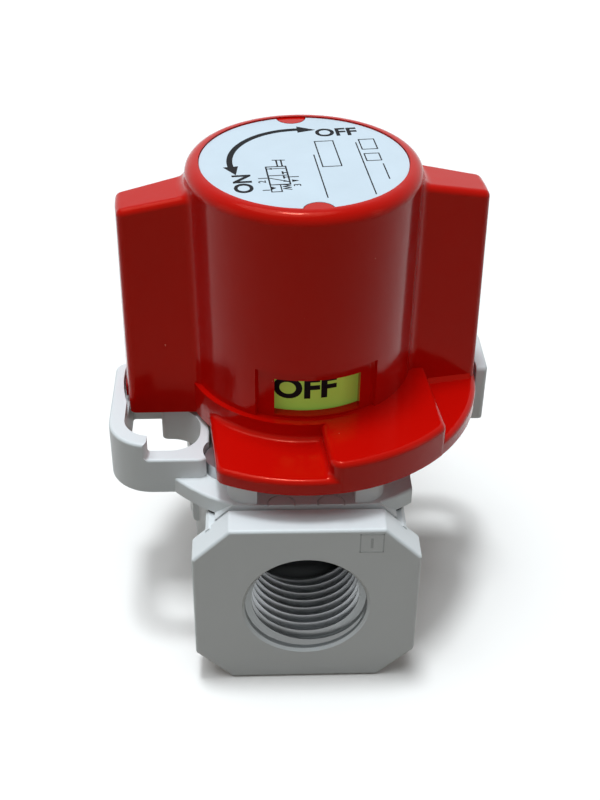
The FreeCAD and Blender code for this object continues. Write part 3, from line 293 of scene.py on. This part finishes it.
def grey_paint(colours, with_ports):
    """Satin paint over a sand-fine casting skin; bare machined alloy in the ports, and near-black painted shade
    far down the passages.
    """
    name = "grey satin paint, machined ports" if with_ports else "grey satin paint"
    paint = Finish(name, 0.42, specular=0.35)
    ground = paint.blend(paint.noise(scale=55.0, detail=4.0), colours.grey_deep, colours.grey)
    skin = paint.noise(scale=1500.0, detail=4.0, roughness=0.6)
    waves = paint.bump(paint.noise(scale=180.0, detail=2.0), distance=0.00010, strength=0.20)
    roughness = paint.span(paint.noise(scale=240.0), low=0.34, high=0.50)
    if with_ports:
        machined, deep = port_masks(paint)
        shade_mask = paint.maths("MULTIPLY", machined, deep)
        ground = paint.blend(machined, ground, colours.alloy)
        # Painted shade: far down the passages the casting is painted near black.
        ground = paint.blend(shade_mask, ground, colours.passage_shade)
        roughness = paint.maths("MULTIPLY", roughness, paint.span(machined, low=1.0, high=0.8))
        bare = paint.maths("SUBTRACT", machined, shade_mask)
        paint.join(paint.span(bare, low=0.0, high=0.2), "Metallic")
    paint.join(ground, "Base Color")
    paint.join(roughness, "Roughness")
    paint.join(paint.bump(skin, distance=0.00005, strength=0.25, under=waves), "Normal")
    return paint.material


def thread_metal(colours):
    """Thread cut in the alloy: satin, partly metallic, dull at the mouth and brighter down the bore, where the
    brighter colour is a painted reflection of light in the bore.
    """
    metal = Finish("cut thread", 0.34, metallic=0.55)
    across = metal.add("ShaderNodeSeparateXYZ", links={"Vector": metal.place}).outputs["Y"]
    depth = metal.maths("SUBTRACT", FACE, metal.maths("ABSOLUTE", across))
    reflection_past_mouth = metal.ramp(depth, low=0.0018, high=0.0045)
    ground = metal.blend(metal.noise(scale=500.0), shade(colours.thread, 0.8), colours.thread)
    # Painted reflection: past the mouth the thread takes the brighter colour.
    metal.join(metal.blend(reflection_past_mouth, colours.alloy, ground), "Base Color")
    metal.join(metal.span(metal.noise(scale=900.0), low=0.24, high=0.36), "Roughness")
    chatter = metal.noise(scale=700.0, detail=2.0)
    metal.join(metal.bump(chatter, distance=0.00001, strength=0.15), "Normal")
    return metal.material


def turned_metal(name, tint, roughness, rings=2600.0):
    """Lathe-turned metal: fine rings across Z and small changes of tint and gloss."""
    metal = Finish(name, roughness, metallic=1.0)
    metal.join(metal.blend(metal.noise(scale=300.0), shade(tint, 0.82), tint), "Base Color")
    smooth, rough = roughness * 0.75, roughness * 1.35
    metal.join(metal.span(metal.noise(scale=700.0, detail=4.0), low=smooth, high=rough), "Roughness")
    turning = metal.add("ShaderNodeTexWave", {"Scale": rings, "Distortion": 1.5, "Detail": 2.0},
                        {"Vector": metal.place}, wave_type="BANDS", bands_direction="Z")
    metal.join(metal.bump(turning.outputs["Fac"], distance=0.00001, strength=0.4), "Normal")
    return metal.material


def plain_moulding(name, tint, roughness, grain, depth, specular=0.45, painted_glow=0.0):
    """Moulded plastic or rubber: an even colour with a fine grain; one can be given emission, which is painted
    light.
    """
    moulding = Finish(name, roughness, specular=specular)
    moulding.set(moulding.shader, {"Emission Color": (*tint, 1.0), "Emission Strength": painted_glow})
    moulding.join(moulding.blend(moulding.noise(scale=160.0), shade(tint, 0.86), tint), "Base Color")
    smooth, rough = roughness * 0.85, min(1.0, roughness * 1.15)
    gloss = moulding.noise(scale=420.0, detail=2.0)
    moulding.join(moulding.span(gloss, low=smooth, high=rough), "Roughness")
    moulding.join(moulding.bump(moulding.noise(scale=grain), distance=depth, strength=0.5), "Normal")
    return moulding.material


def printing_ink(colours, name):
    """Matt ink of the label and the indicator."""
    return plain_moulding(name, colours.ink, roughness=0.5, grain=900.0, depth=0.00001, specular=0.06)


def finish_of_slot(slot, colours):
    """The finish of one material slot of the record."""
    makers = {
        "red_paint": lambda: red_paint(colours),
        "grey_paint": lambda: grey_paint(colours, with_ports=False),
        "label": lambda: plain_moulding("label film", colours.label, roughness=0.34, grain=900.0,
                                        depth=0.00001, specular=0.3),
        # The indicator's emission is painted light: it brightens the ring in the shade of its window, though the
        # ring is no lamp.
        "indicator": lambda: plain_moulding("indicator plastic", colours.indicator, roughness=0.38,
                                            grain=900.0, depth=0.00002, painted_glow=0.10),
        "acetal": lambda: plain_moulding("acetal", colours.acetal, roughness=0.45, grain=1300.0,
                                         depth=0.00002),
        "rubber": lambda: plain_moulding("nitrile rubber", colours.rubber, roughness=0.62, grain=1800.0,
                                         depth=0.00003, specular=0.35),
        "steel": lambda: turned_metal("turned steel", colours.steel, roughness=0.28),
        "screw_steel": lambda: turned_metal("zinc plate", colours.zinc, roughness=0.36, rings=1700.0),
        "brass": lambda: turned_metal("turned brass", colours.brass, roughness=0.26),
    }
    return makers[slot]()


# ------------------------------------------------------------------ mesh helpers
def piece(name, bm, body, material, smooth=True):
    """An object from a bmesh, riding on a body of the valve."""
    bmesh.ops.recalc_face_normals(bm, faces=bm.faces)
    mesh = bpy.data.meshes.new(name)
    bm.to_mesh(mesh)
    bm.free()
    for polygon in mesh.polygons:
        polygon.use_smooth = smooth
    item = bpy.data.objects.new(name, mesh)
    bpy.context.scene.collection.objects.link(item)
    item.data.materials.append(material)
    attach(item, body)
    return item


def written(text, height, bold):
    """A bmesh of a line of text lying in XY, centred on its own middle, with capitals of a height.
    Bold is how far the outlines are pushed out, as a share of the font's size."""
    curve = bpy.data.curves.new("text " + text, "FONT")
    curve.body, curve.offset = text, bold
    curve.resolution_u = 6
    holder = bpy.data.objects.new(curve.name, curve)
    bpy.context.scene.collection.objects.link(holder)
    bpy.context.view_layer.update()
    flat = bpy.data.meshes.new_from_object(holder.evaluated_get(bpy.context.evaluated_depsgraph_get()))
    bm = bmesh.new()
    bm.from_mesh(flat)
    bpy.data.objects.remove(holder)
    bpy.data.curves.remove(curve)
    bpy.data.meshes.remove(flat)
    touching = 0.0005
    bmesh.ops.remove_doubles(bm, verts=bm.verts, dist=touching)
    xs = [vertex.co.x for vertex in bm.verts]
    ys = [vertex.co.y for vertex in bm.verts]
    middle = Vector(((min(xs) + max(xs)) / 2, (min(ys) + max(ys)) / 2, 0.0))
    bmesh.ops.translate(bm, verts=bm.verts, vec=-middle)
    bmesh.ops.scale(bm, verts=bm.verts, vec=Vector((1, 1, 1)) * (height / (max(ys) - min(ys))))
    return bm


def thickened(bm, depth):
    """Gives a flat bmesh lying in XY a thickness upwards."""
    made = bmesh.ops.extrude_face_region(bm, geom=bm.faces[:])
    raised = [item for item in made["geom"] if isinstance(item, bmesh.types.BMVert)]
    bmesh.ops.translate(bm, verts=raised, vec=Vector((0, 0, depth)))
    return bm


def bar(bm, start, end, width):
    """Adds a flat straight bar between two points of XY to a bmesh."""
    start, end = Vector((*start, 0.0)), Vector((*end, 0.0))
    along = end - start
    angle = math.atan2(along.y, along.x)
    place = Matrix.Translation((start + end) / 2) @ Matrix.Rotation(angle, 4, "Z")
    made = bmesh.ops.create_grid(bm, x_segments=1, y_segments=1, size=0.5, matrix=Matrix.Identity(4))
    bmesh.ops.scale(bm, verts=made["verts"], vec=(along.length + width, width, 1.0))
    bmesh.ops.transform(bm, verts=made["verts"], matrix=place)


def merged(target, source):
    """Adds one bmesh to another."""
    mesh = bpy.data.meshes.new("joining")
    source.to_mesh(mesh)
    source.free()
    target.from_mesh(mesh)
    bpy.data.meshes.remove(mesh)


def placed(bm, matrix):
    """Moves a whole bmesh by a matrix."""
    bmesh.ops.transform(bm, verts=bm.verts, matrix=matrix)
    return bm


def swept(bm, edges, rise, angle, steps):
    """Spins a closed ring of edges round Z, rising by a height at each step, and closes the far end."""
    made = bmesh.ops.spin(bm, geom=edges, cent=(0, 0, 0), axis=(0, 0, 1), dvec=(0, 0, rise), angle=angle,
                          steps=steps, use_merge=False, use_duplicate=False)
    last = [item for item in made["geom_last"] if isinstance(item, bmesh.types.BMEdge)]
    bmesh.ops.contextual_create(bm, geom=last)


# ------------------------------------------------------------------ operators
class VALVE_OT_finishes(bpy.types.Operator):
    """Gives every CAD node its paint, metal, rubber or plastic"""
    bl_idname = "valve.finishes"
    bl_label = "Finishes"

    def execute(self, context):
        colours = context.scene.valve_looks.colours
        slots = {part["node"]: part["material_slot"] for part in frame["record"]["subparts"]}
        made = {slot: finish_of_slot(slot, colours) for slot in sorted(set(slots.values()))}
        made["body"] = grey_paint(colours, True)
        for name, node in frame["nodes"].items():
            material = made["body"] if name == "valve_body" else made[slots[name]]
            for index in range(len(node.material_slots)):
                node.material_slots[index].material = material
        return {"FINISHED"}


class VALVE_OT_port_threads(bpy.types.Operator):
    """Cuts a taper pipe thread into each port"""
    bl_idname = "valve.port_threads"
    bl_label = "Port threads"

    def thread(self, sizes, root, depth):
        """A ridge that winds in from z = 0 along -Z, tapering inwards and fading at both ends."""
        bm = bmesh.new()
        pitch, base = sizes.pitch, root + sizes.buried
        outline = [(base, 0.0), (root - sizes.crest, (pitch - sizes.flat) / 2),
                   (root - sizes.crest, (pitch + sizes.flat) / 2), (base, pitch)]
        corners = [bm.verts.new((radius, 0.0, -level)) for radius, level in outline]
        count = len(corners)
        edges = [bm.edges.new((corners[index], corners[(index + 1) % count])) for index in range(count)]
        steps = round((depth / pitch - 1) * sizes.steps)
        bmesh.ops.contextual_create(bm, geom=edges)
        swept(bm, edges, -pitch / sizes.steps, -steps * 2 * math.pi / sizes.steps, steps)
        fade, least = sizes.steps / 3, 0.05  # steps over which an end fades, and the share left at its tip
        for vertex in bm.verts:
            step, reach = vertex.index // count, math.hypot(vertex.co.x, vertex.co.y)
            if reach < root:
                share = max(least, min(1.0, step / fade, (steps - step) / fade))
                narrowing = step / sizes.steps * pitch * sizes.taper / 2
                target = root - (root - reach + narrowing) * share
                vertex.co.x *= target / reach
                vertex.co.y *= target / reach
        return bm

    def execute(self, context):
        sizes = context.scene.valve_looks.thread
        metal = thread_metal(context.scene.valve_looks.colours)
        turns = {"port_inlet": Matrix.Rotation(math.pi / 2, 4, "X"),
                 "port_outlet": Matrix.Rotation(-math.pi / 2, 4, "X"),
                 "port_exhaust": Matrix.Rotation(math.pi, 4, "X")}
        for name, turn in turns.items():
            mount = MOUNTS[name]
            radius, depth = mount["dims"]["r_mm"] / 1000, mount["dims"]["length_mm"] / 1000
            bm = self.thread(sizes, radius, depth - sizes.run_out)
            placed(bm, Matrix.Translation(mount["pos_m"]) @ turn)
            piece(name + "_thread", bm, "housing", metal, smooth=False)
        return {"FINISHED"}


class VALVE_OT_return_spring(bpy.types.Operator):
    """Winds the return spring as a coil of fixed length; the real spring shortens as the stem goes down"""
    bl_idname = "valve.return_spring"
    bl_label = "Return spring"

    def execute(self, context):
        sizes = context.scene.valve_looks.spring
        low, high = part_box("return_spring")
        height, radius = high.z - low.z, high.x - sizes.wire
        steps = sizes.turns * sizes.steps
        rise = (height - 2 * sizes.wire) / steps
        upright = Matrix.Rotation(math.pi / 2, 4, "X")
        start = Matrix.Translation((radius, 0, low.z + sizes.wire)) @ upright
        bm = bmesh.new()
        bmesh.ops.create_circle(bm, cap_ends=True, radius=sizes.wire, segments=14, matrix=start)
        swept(bm, bm.edges[:], rise, 2 * math.pi * sizes.turns, steps)
        steel = turned_metal("spring steel", context.scene.valve_looks.colours.steel, roughness=0.30)
        spring = piece("return_spring_coil", bm, "housing", steel)
        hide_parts("return_spring")
        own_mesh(spring)
        return {"FINISHED"}


class VALVE_OT_label_print(bpy.types.Operator):
    """Prints the turning arrow, its two words, the flow symbol and the blank fields on the label"""
    bl_idname = "valve.label_print"
    bl_label = "Label print"

    def arrow(self, sizes):
        """A two-headed arrow along an arc that starts at the back and ends at the left."""
        bm = bmesh.new()
        start, end = math.radians(88), math.radians(185)
        inner = sizes.arc_radius - sizes.arc_width / 2
        first = bm.verts.new((inner, 0, 0))
        second = bm.verts.new((inner + sizes.arc_width, 0, 0))
        edge = bm.edges.new((first, second))
        bmesh.ops.rotate(bm, verts=[first, second], cent=(0, 0, 0), matrix=Matrix.Rotation(start, 3, "Z"))
        bmesh.ops.spin(bm, geom=[first, second, edge], cent=(0, 0, 0), axis=(0, 0, 1), angle=end - start,
                       steps=48, use_merge=False, use_duplicate=False)
        spread, dip = sizes.head * 0.4, sizes.head * 0.1
        for angle, way in ((start, -1), (end, 1)):
            outward = Vector((math.cos(angle), math.sin(angle), 0))
            ahead = Vector((-outward.y, outward.x, 0)) * way
            root = outward * sizes.arc_radius
            bm.faces.new([bm.verts.new(root + outward * spread), bm.verts.new(root - outward * spread),
                          bm.verts.new(root + ahead * sizes.head - outward * dip)])
        return bm

    def symbol(self, sizes):
        """The flow symbol: two squares with their paths, a knob at one end, a pilot and a spring at the
        other. Points are in sides of a square, from the middle of the squares' left edge."""
        bm = bmesh.new()
        side, line = sizes.symbol, sizes.line
        broad, stub = line * 1.25, line * 1.4

        def strokes(*points, width=line):
            for begin, stop in zip(points, points[1:]):
                bar(bm, (begin[0] * side, begin[1] * side), (stop[0] * side, stop[1] * side), width)

        def wedge(*points):
            bm.faces.new([bm.verts.new((x * side, y * side, 0)) for x, y in points])

        strokes((0, -1), (1, -1), (1, 1), (0, 1), (0, -1), width=broad)
        strokes((0, 0), (1, 0))
        strokes((0.60, 1), (0.60, 1.72), width=broad)
        strokes((0.84, 1), (0.84, 1.72), width=broad)
        strokes((0.42, 1.76), (1.02, 1.70))
        strokes((1, 0.77), (0.05, 0.77))
        wedge((0.04, 0.77), (0.28, 0.86), (0.28, 0.68))
        for level in (0.28, -0.22):
            strokes((1, level), (0.77, level))
            strokes((0.77, level - 0.11), (0.77, level + 0.11), width=stub)
        strokes((-0.48, -0.24), (0, -0.24))
        strokes((1, -0.22), (1.48, -0.22))
        strokes((0.02, -0.24), (0.96, -0.73))
        wedge((0.98, -0.74), (0.74, -0.53), (0.68, -0.70))
        strokes((0, -1), (0, -1.76), (0.5, -1.76), (0.5, -1))
        wedge((0.03, -1.18), (0.03, -1.52), (0.26, -1.35))
        strokes(*[(0.62 + 0.36 * (step % 2), -1.02 - 0.11 * step) for step in range(6)])
        wedge((1.12, -0.52), (1.12, -0.78), (1.48, -0.66))
        for text, x, y in (("2", -0.36, -0.62), ("1", -0.24, -1.54), ("3", 1.32, -1.14)):
            digit = written(text, side * 0.38, bold=0.01)
            turn = Matrix.Translation((x * side, y * side, 0)) @ Matrix.Rotation(math.pi / 2, 4, "Z")
            merged(bm, placed(digit, turn))
        return bm

    def blank_fields(self, sizes):
        """Ruled lines and empty frames for data, in millimetres from the label's middle: a line is its
        place across and its two ends, and a frame is its low left corner and its high right one."""
        bm = bmesh.new()

        def stroke(start, end):
            bar(bm, Vector(start) / 1000, Vector(end) / 1000, sizes.line)

        for across, low, high in ((1.45, -10.4, 1.5), (7.40, -10.1, 4.6), (9.80, -6.2, -2.0)):
            stroke((across, low), (across, high))
        for left, low, right, high in ((2.1, -2.0, 4.5, 5.5), (7.9, -0.9, 9.8, 1.2), (7.9, 2.5, 9.9, 5.5)):
            corners = ((left, low), (right, low), (right, high), (left, high), (left, low))
            for start, end in zip(corners, corners[1:]):
                stroke(start, end)
        return bm

    def execute(self, context):
        sizes = context.scene.valve_looks.printing
        ink = printing_ink(context.scene.valve_looks.colours, "printing ink")
        off_place = Matrix.Translation((0.00535, 0.00815, 0))
        on_place = Matrix.Translation((-0.00835, -0.0057, 0)) @ Matrix.Rotation(math.pi / 2, 4, "Z")
        symbol_place = Matrix.Translation((-0.00505, -0.00385, 0))
        prints = {
            "arrow": self.arrow(sizes),
            "off": placed(written("OFF", sizes.label_letter, bold=0.028), off_place),
            "on": placed(written("ON", sizes.label_letter, bold=0.028), on_place),
            "symbol": placed(self.symbol(sizes), symbol_place),
            "blank_fields": self.blank_fields(sizes),
        }
        level = Matrix.Translation((0, 0, LABEL_TOP - SUNK))
        turn = Matrix.Rotation(REST_TURN, 4, "Z")
        for name, bm in prints.items():
            placed(thickened(bm, sizes.ink), level @ turn)
            piece("label_" + name, bm, "knob", ink, smooth=False)
        return {"FINISHED"}


class VALVE_OT_indicator_words(bpy.types.Operator):
    """Prints OFF and ON round the indicator ring"""
    bl_idname = "valve.indicator_words"
    bl_label = "Indicator words"

    def execute(self, context):
        sizes = context.scene.valve_looks.printing
        ink = printing_ink(context.scene.valve_looks.colours, "indicator ink")
        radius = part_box("indicator_ring")[1].x
        window_height = 0.0084  # middle of the windows above the knob's underside
        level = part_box("knob")[0].z + window_height
        widening = Matrix.Diagonal((1.12, 1.0, 1.0, 1.0))
        words = {"front": ("OFF", -90), "rear": ("OFF", 90), "left": ("ON", 180), "right": ("ON", 0)}
        slices = 12
        for name, (word, side) in words.items():
            bm = placed(written(word, sizes.window_letter, bold=0.035), widening)
            thickened(bm, sizes.ink * 2)
            for step in range(-slices, slices + 1):
                bmesh.ops.bisect_plane(bm, geom=bm.verts[:] + bm.edges[:] + bm.faces[:],
                                       plane_co=(step * sizes.slice, 0, 0), plane_no=(1, 0, 0))
            for vertex in bm.verts:
                angle = math.radians(side) + vertex.co.x / radius
                reach = radius - 2 * SUNK + vertex.co.z
                vertex.co = Vector((math.cos(angle) * reach, math.sin(angle) * reach, level + vertex.co.y))
            piece("indicator_word_" + name, bm, "housing", ink, smooth=False)
        return {"FINISHED"}


class VALVE_OT_port_numbers(bpy.types.Operator):
    """Raises a framed number on each port face, in a darker grey that is painted shade"""
    bl_idname = "valve.port_numbers"
    bl_label = "Port numbers"

    def execute(self, context):
        sizes = context.scene.valve_looks.printing
        # Painted shade: the numbers and frames are a darker grey, standing in for the shadow that gathers round
        # cast-in marks.
        paint = plain_moulding("number painted shade", shade(context.scene.valve_looks.colours.grey, 0.70),
                               roughness=0.45, grain=1500.0, depth=0.00002)
        half = sizes.number_frame / 2
        corners = ((-half, -half), (half, -half), (half, half), (-half, half), (-half, -half))
        place = Matrix.Translation((0.00834, SUNK - FACE, 0.02475))
        upright = Matrix.Rotation(math.pi / 2, 4, "X")
        for number, turn in (("1", 0.0), ("2", math.pi)):
            bm = written(number, sizes.number, bold=0.025)
            for start, end in zip(corners, corners[1:]):
                bar(bm, start, end, sizes.line)
            thickened(bm, sizes.ink)
            placed(bm, Matrix.Rotation(turn, 4, "Z") @ place @ upright)
            piece("port_number_" + number, bm, "housing", paint, smooth=False)
        return {"FINISHED"}


class VALVE_OT_stage(bpy.types.Operator):
    """Sets the floor, the light and the camera"""
    bl_idname = "valve.stage"
    bl_label = "Stage"

    def seen(self, tree):
        """1 for rays that show a surface to the eye: from the camera, by gloss or through glass."""
        path = tree.nodes.new("ShaderNodeLightPath")
        total = path.outputs["Is Camera Ray"]
        for kind in ("Is Glossy Ray", "Is Transmission Ray"):
            node = tree.nodes.new("ShaderNodeMath")
            node.operation = "MAXIMUM"
            tree.links.new(total, node.inputs[0])
            tree.links.new(path.outputs[kind], node.inputs[1])
            total = node.outputs[0]
        return total

    def split(self, tree, dim, shown, output):
        """Sends one shader to the rays that show a surface and another to the rays that light it."""
        mix = tree.nodes.new("ShaderNodeMixShader")
        tree.links.new(self.seen(tree), mix.inputs[0])
        tree.links.new(dim.outputs[0], mix.inputs[1])
        tree.links.new(shown.outputs[0], mix.inputs[2])
        tree.links.new(mix.outputs[0], tree.nodes[output].inputs["Surface"])

    def floor(self, settings):
        """A wide floor just under the valve, pale to the eye and dimmer as a source of light."""
        half_side, gap = 3.0, 0.0001
        bm = bmesh.new()
        bmesh.ops.create_grid(bm, x_segments=8, y_segments=8, size=half_side,
                              matrix=Matrix.Translation((0, 0, BOX_LOW.z - gap)))
        mesh = bpy.data.meshes.new("floor")
        bm.to_mesh(mesh)
        bm.free()
        item = bpy.data.objects.new("floor", mesh)
        bpy.context.scene.collection.objects.link(item)
        material = bpy.data.materials.new("floor")
        material.use_nodes = True
        tree = material.node_tree
        tree.nodes.remove(tree.nodes["Principled BSDF"])
        shown = tree.nodes.new("ShaderNodeBsdfDiffuse")
        dim = tree.nodes.new("ShaderNodeBsdfDiffuse")
        shown.inputs["Color"].default_value = (*settings.floor, 1.0)
        dim.inputs["Color"].default_value = (*settings.bounce, 1.0)
        self.split(tree, dim, shown, "Material Output")
        item.data.materials.append(material)

    def sky(self, context, settings):
        """An even light from all round, which the eye sees as white."""
        world = bpy.data.worlds.new("sky")
        context.scene.world = world
        world.use_nodes = True
        tree = world.node_tree
        even, white = tree.nodes["Background"], tree.nodes.new("ShaderNodeBackground")
        even.inputs["Color"].default_value = (*settings.sky_tint, 1.0)
        even.inputs["Strength"].default_value = settings.sky
        white.inputs["Color"].default_value = (1.0, 1.0, 1.0, 1.0)
        self.split(tree, even, white, "World Output")

    def overhead(self, name, strength, softness, front, left):
        """A light from above that leans towards the front and the left by two angles in degrees."""
        cool = (0.93, 1.02, 1.08)
        data = bpy.data.lights.new(name, "SUN")
        data.energy, data.angle, data.color = strength, softness, cool
        item = bpy.data.objects.new(name, data)
        item.rotation_euler = (math.radians(front), -math.radians(left), 0)
        bpy.context.scene.collection.objects.link(item)

    def panel(self, name, place, aim, size, power, tint):
        """A flat light at a place, turned to a point."""
        data = bpy.data.lights.new(name, "AREA")
        data.shape, data.size, data.size_y = "RECTANGLE", size[0], size[1]
        data.energy, data.color = power, tint
        item = bpy.data.objects.new(name, data)
        item.location = place
        item.rotation_euler = (Vector(aim) - Vector(place)).to_track_quat("-Z", "Y").to_euler()
        bpy.context.scene.collection.objects.link(item)

    def camera(self, context):
        """A camera in front and above, turned by yaw to the right, pitch downwards and a little roll."""
        data = bpy.data.cameras.new("camera")
        data.lens, data.sensor_width = 56.85, 36.0
        data.clip_start = 0.01
        place = (-0.006535, -0.146789, 0.135100)
        yaw, pitch, roll = 0.044, 0.628, 0.015
        ahead = Vector((math.sin(yaw) * math.cos(pitch), math.cos(yaw) * math.cos(pitch), -math.sin(pitch)))
        right = Vector((math.cos(yaw), -math.sin(yaw), 0.0))
        up = right.cross(ahead)
        tilted = right * math.cos(roll) + up * math.sin(roll)
        raised = up * math.cos(roll) - right * math.sin(roll)
        facing = Matrix((tilted, raised, -ahead)).transposed().to_4x4()
        item = bpy.data.objects.new("camera", data)
        item.matrix_world = Matrix.Translation(place) @ facing
        context.scene.collection.objects.link(item)
        context.scene.camera = item

    def execute(self, context):
        settings = context.scene.valve_looks.stage
        self.floor(settings)
        self.sky(context, settings)
        middle = (BOX_LOW + BOX_HIGH) / 2
        self.overhead("overhead", settings.overhead, settings.softness, front=0, left=9)
        self.overhead("glint", settings.glint, settings.glint_softness, front=-4, left=4)
        self.panel("left panel", place=(-0.52, -0.14, 0.12), aim=middle, size=(0.20, 0.40),
                   power=settings.side, tint=(1.0, 0.99, 0.97))
        self.panel("right panel", place=(0.50, -0.20, 0.14), aim=middle, size=(0.10, 0.40),
                   power=settings.side * 0.8, tint=(1.0, 0.98, 0.96))
        self.camera(context)
        context.scene.view_settings.view_transform = "Standard"
        return {"FINISHED"}


class VALVE_PT_looks(bpy.types.Panel):
    """Lists the steps that dress the valve"""
    bl_idname = "VALVE_PT_looks"
    bl_label = "Shut-off valve"
    bl_space_type = "VIEW_3D"
    bl_region_type = "UI"
    bl_category = "Valve"

    def draw(self, context):
        looks = context.scene.valve_looks
        for step in STEPS:
            self.layout.operator(step.bl_idname)
        for group in (looks.thread, looks.spring, looks.printing, looks.colours, looks.stage):
            box = self.layout.box()
            for name in group.__annotations__:
                box.prop(group, name)


GROUPS = (ThreadSizes, SpringSizes, PrintSizes, FinishColours, StageSettings, ValveLooks)
STEPS = (VALVE_OT_finishes, VALVE_OT_port_threads, VALVE_OT_return_spring, VALVE_OT_label_print,
         VALVE_OT_indicator_words, VALVE_OT_port_numbers, VALVE_OT_stage)


def register():
    for kind in (*GROUPS, *STEPS, VALVE_PT_looks):
        bpy.utils.register_class(kind)
    bpy.types.Scene.valve_looks = PointerProperty(type=ValveLooks)


def unregister():
    del bpy.types.Scene.valve_looks
    for kind in reversed((*GROUPS, *STEPS, VALVE_PT_looks)):
        bpy.utils.unregister_class(kind)


def main():
    register()
    bpy.ops.valve.finishes()
    bpy.ops.valve.port_threads()
    bpy.ops.valve.return_spring()
    bpy.ops.valve.label_print()
    bpy.ops.valve.indicator_words()
    bpy.ops.valve.port_numbers()
    bpy.ops.valve.stage()


if __name__ == "__main__":
    main()
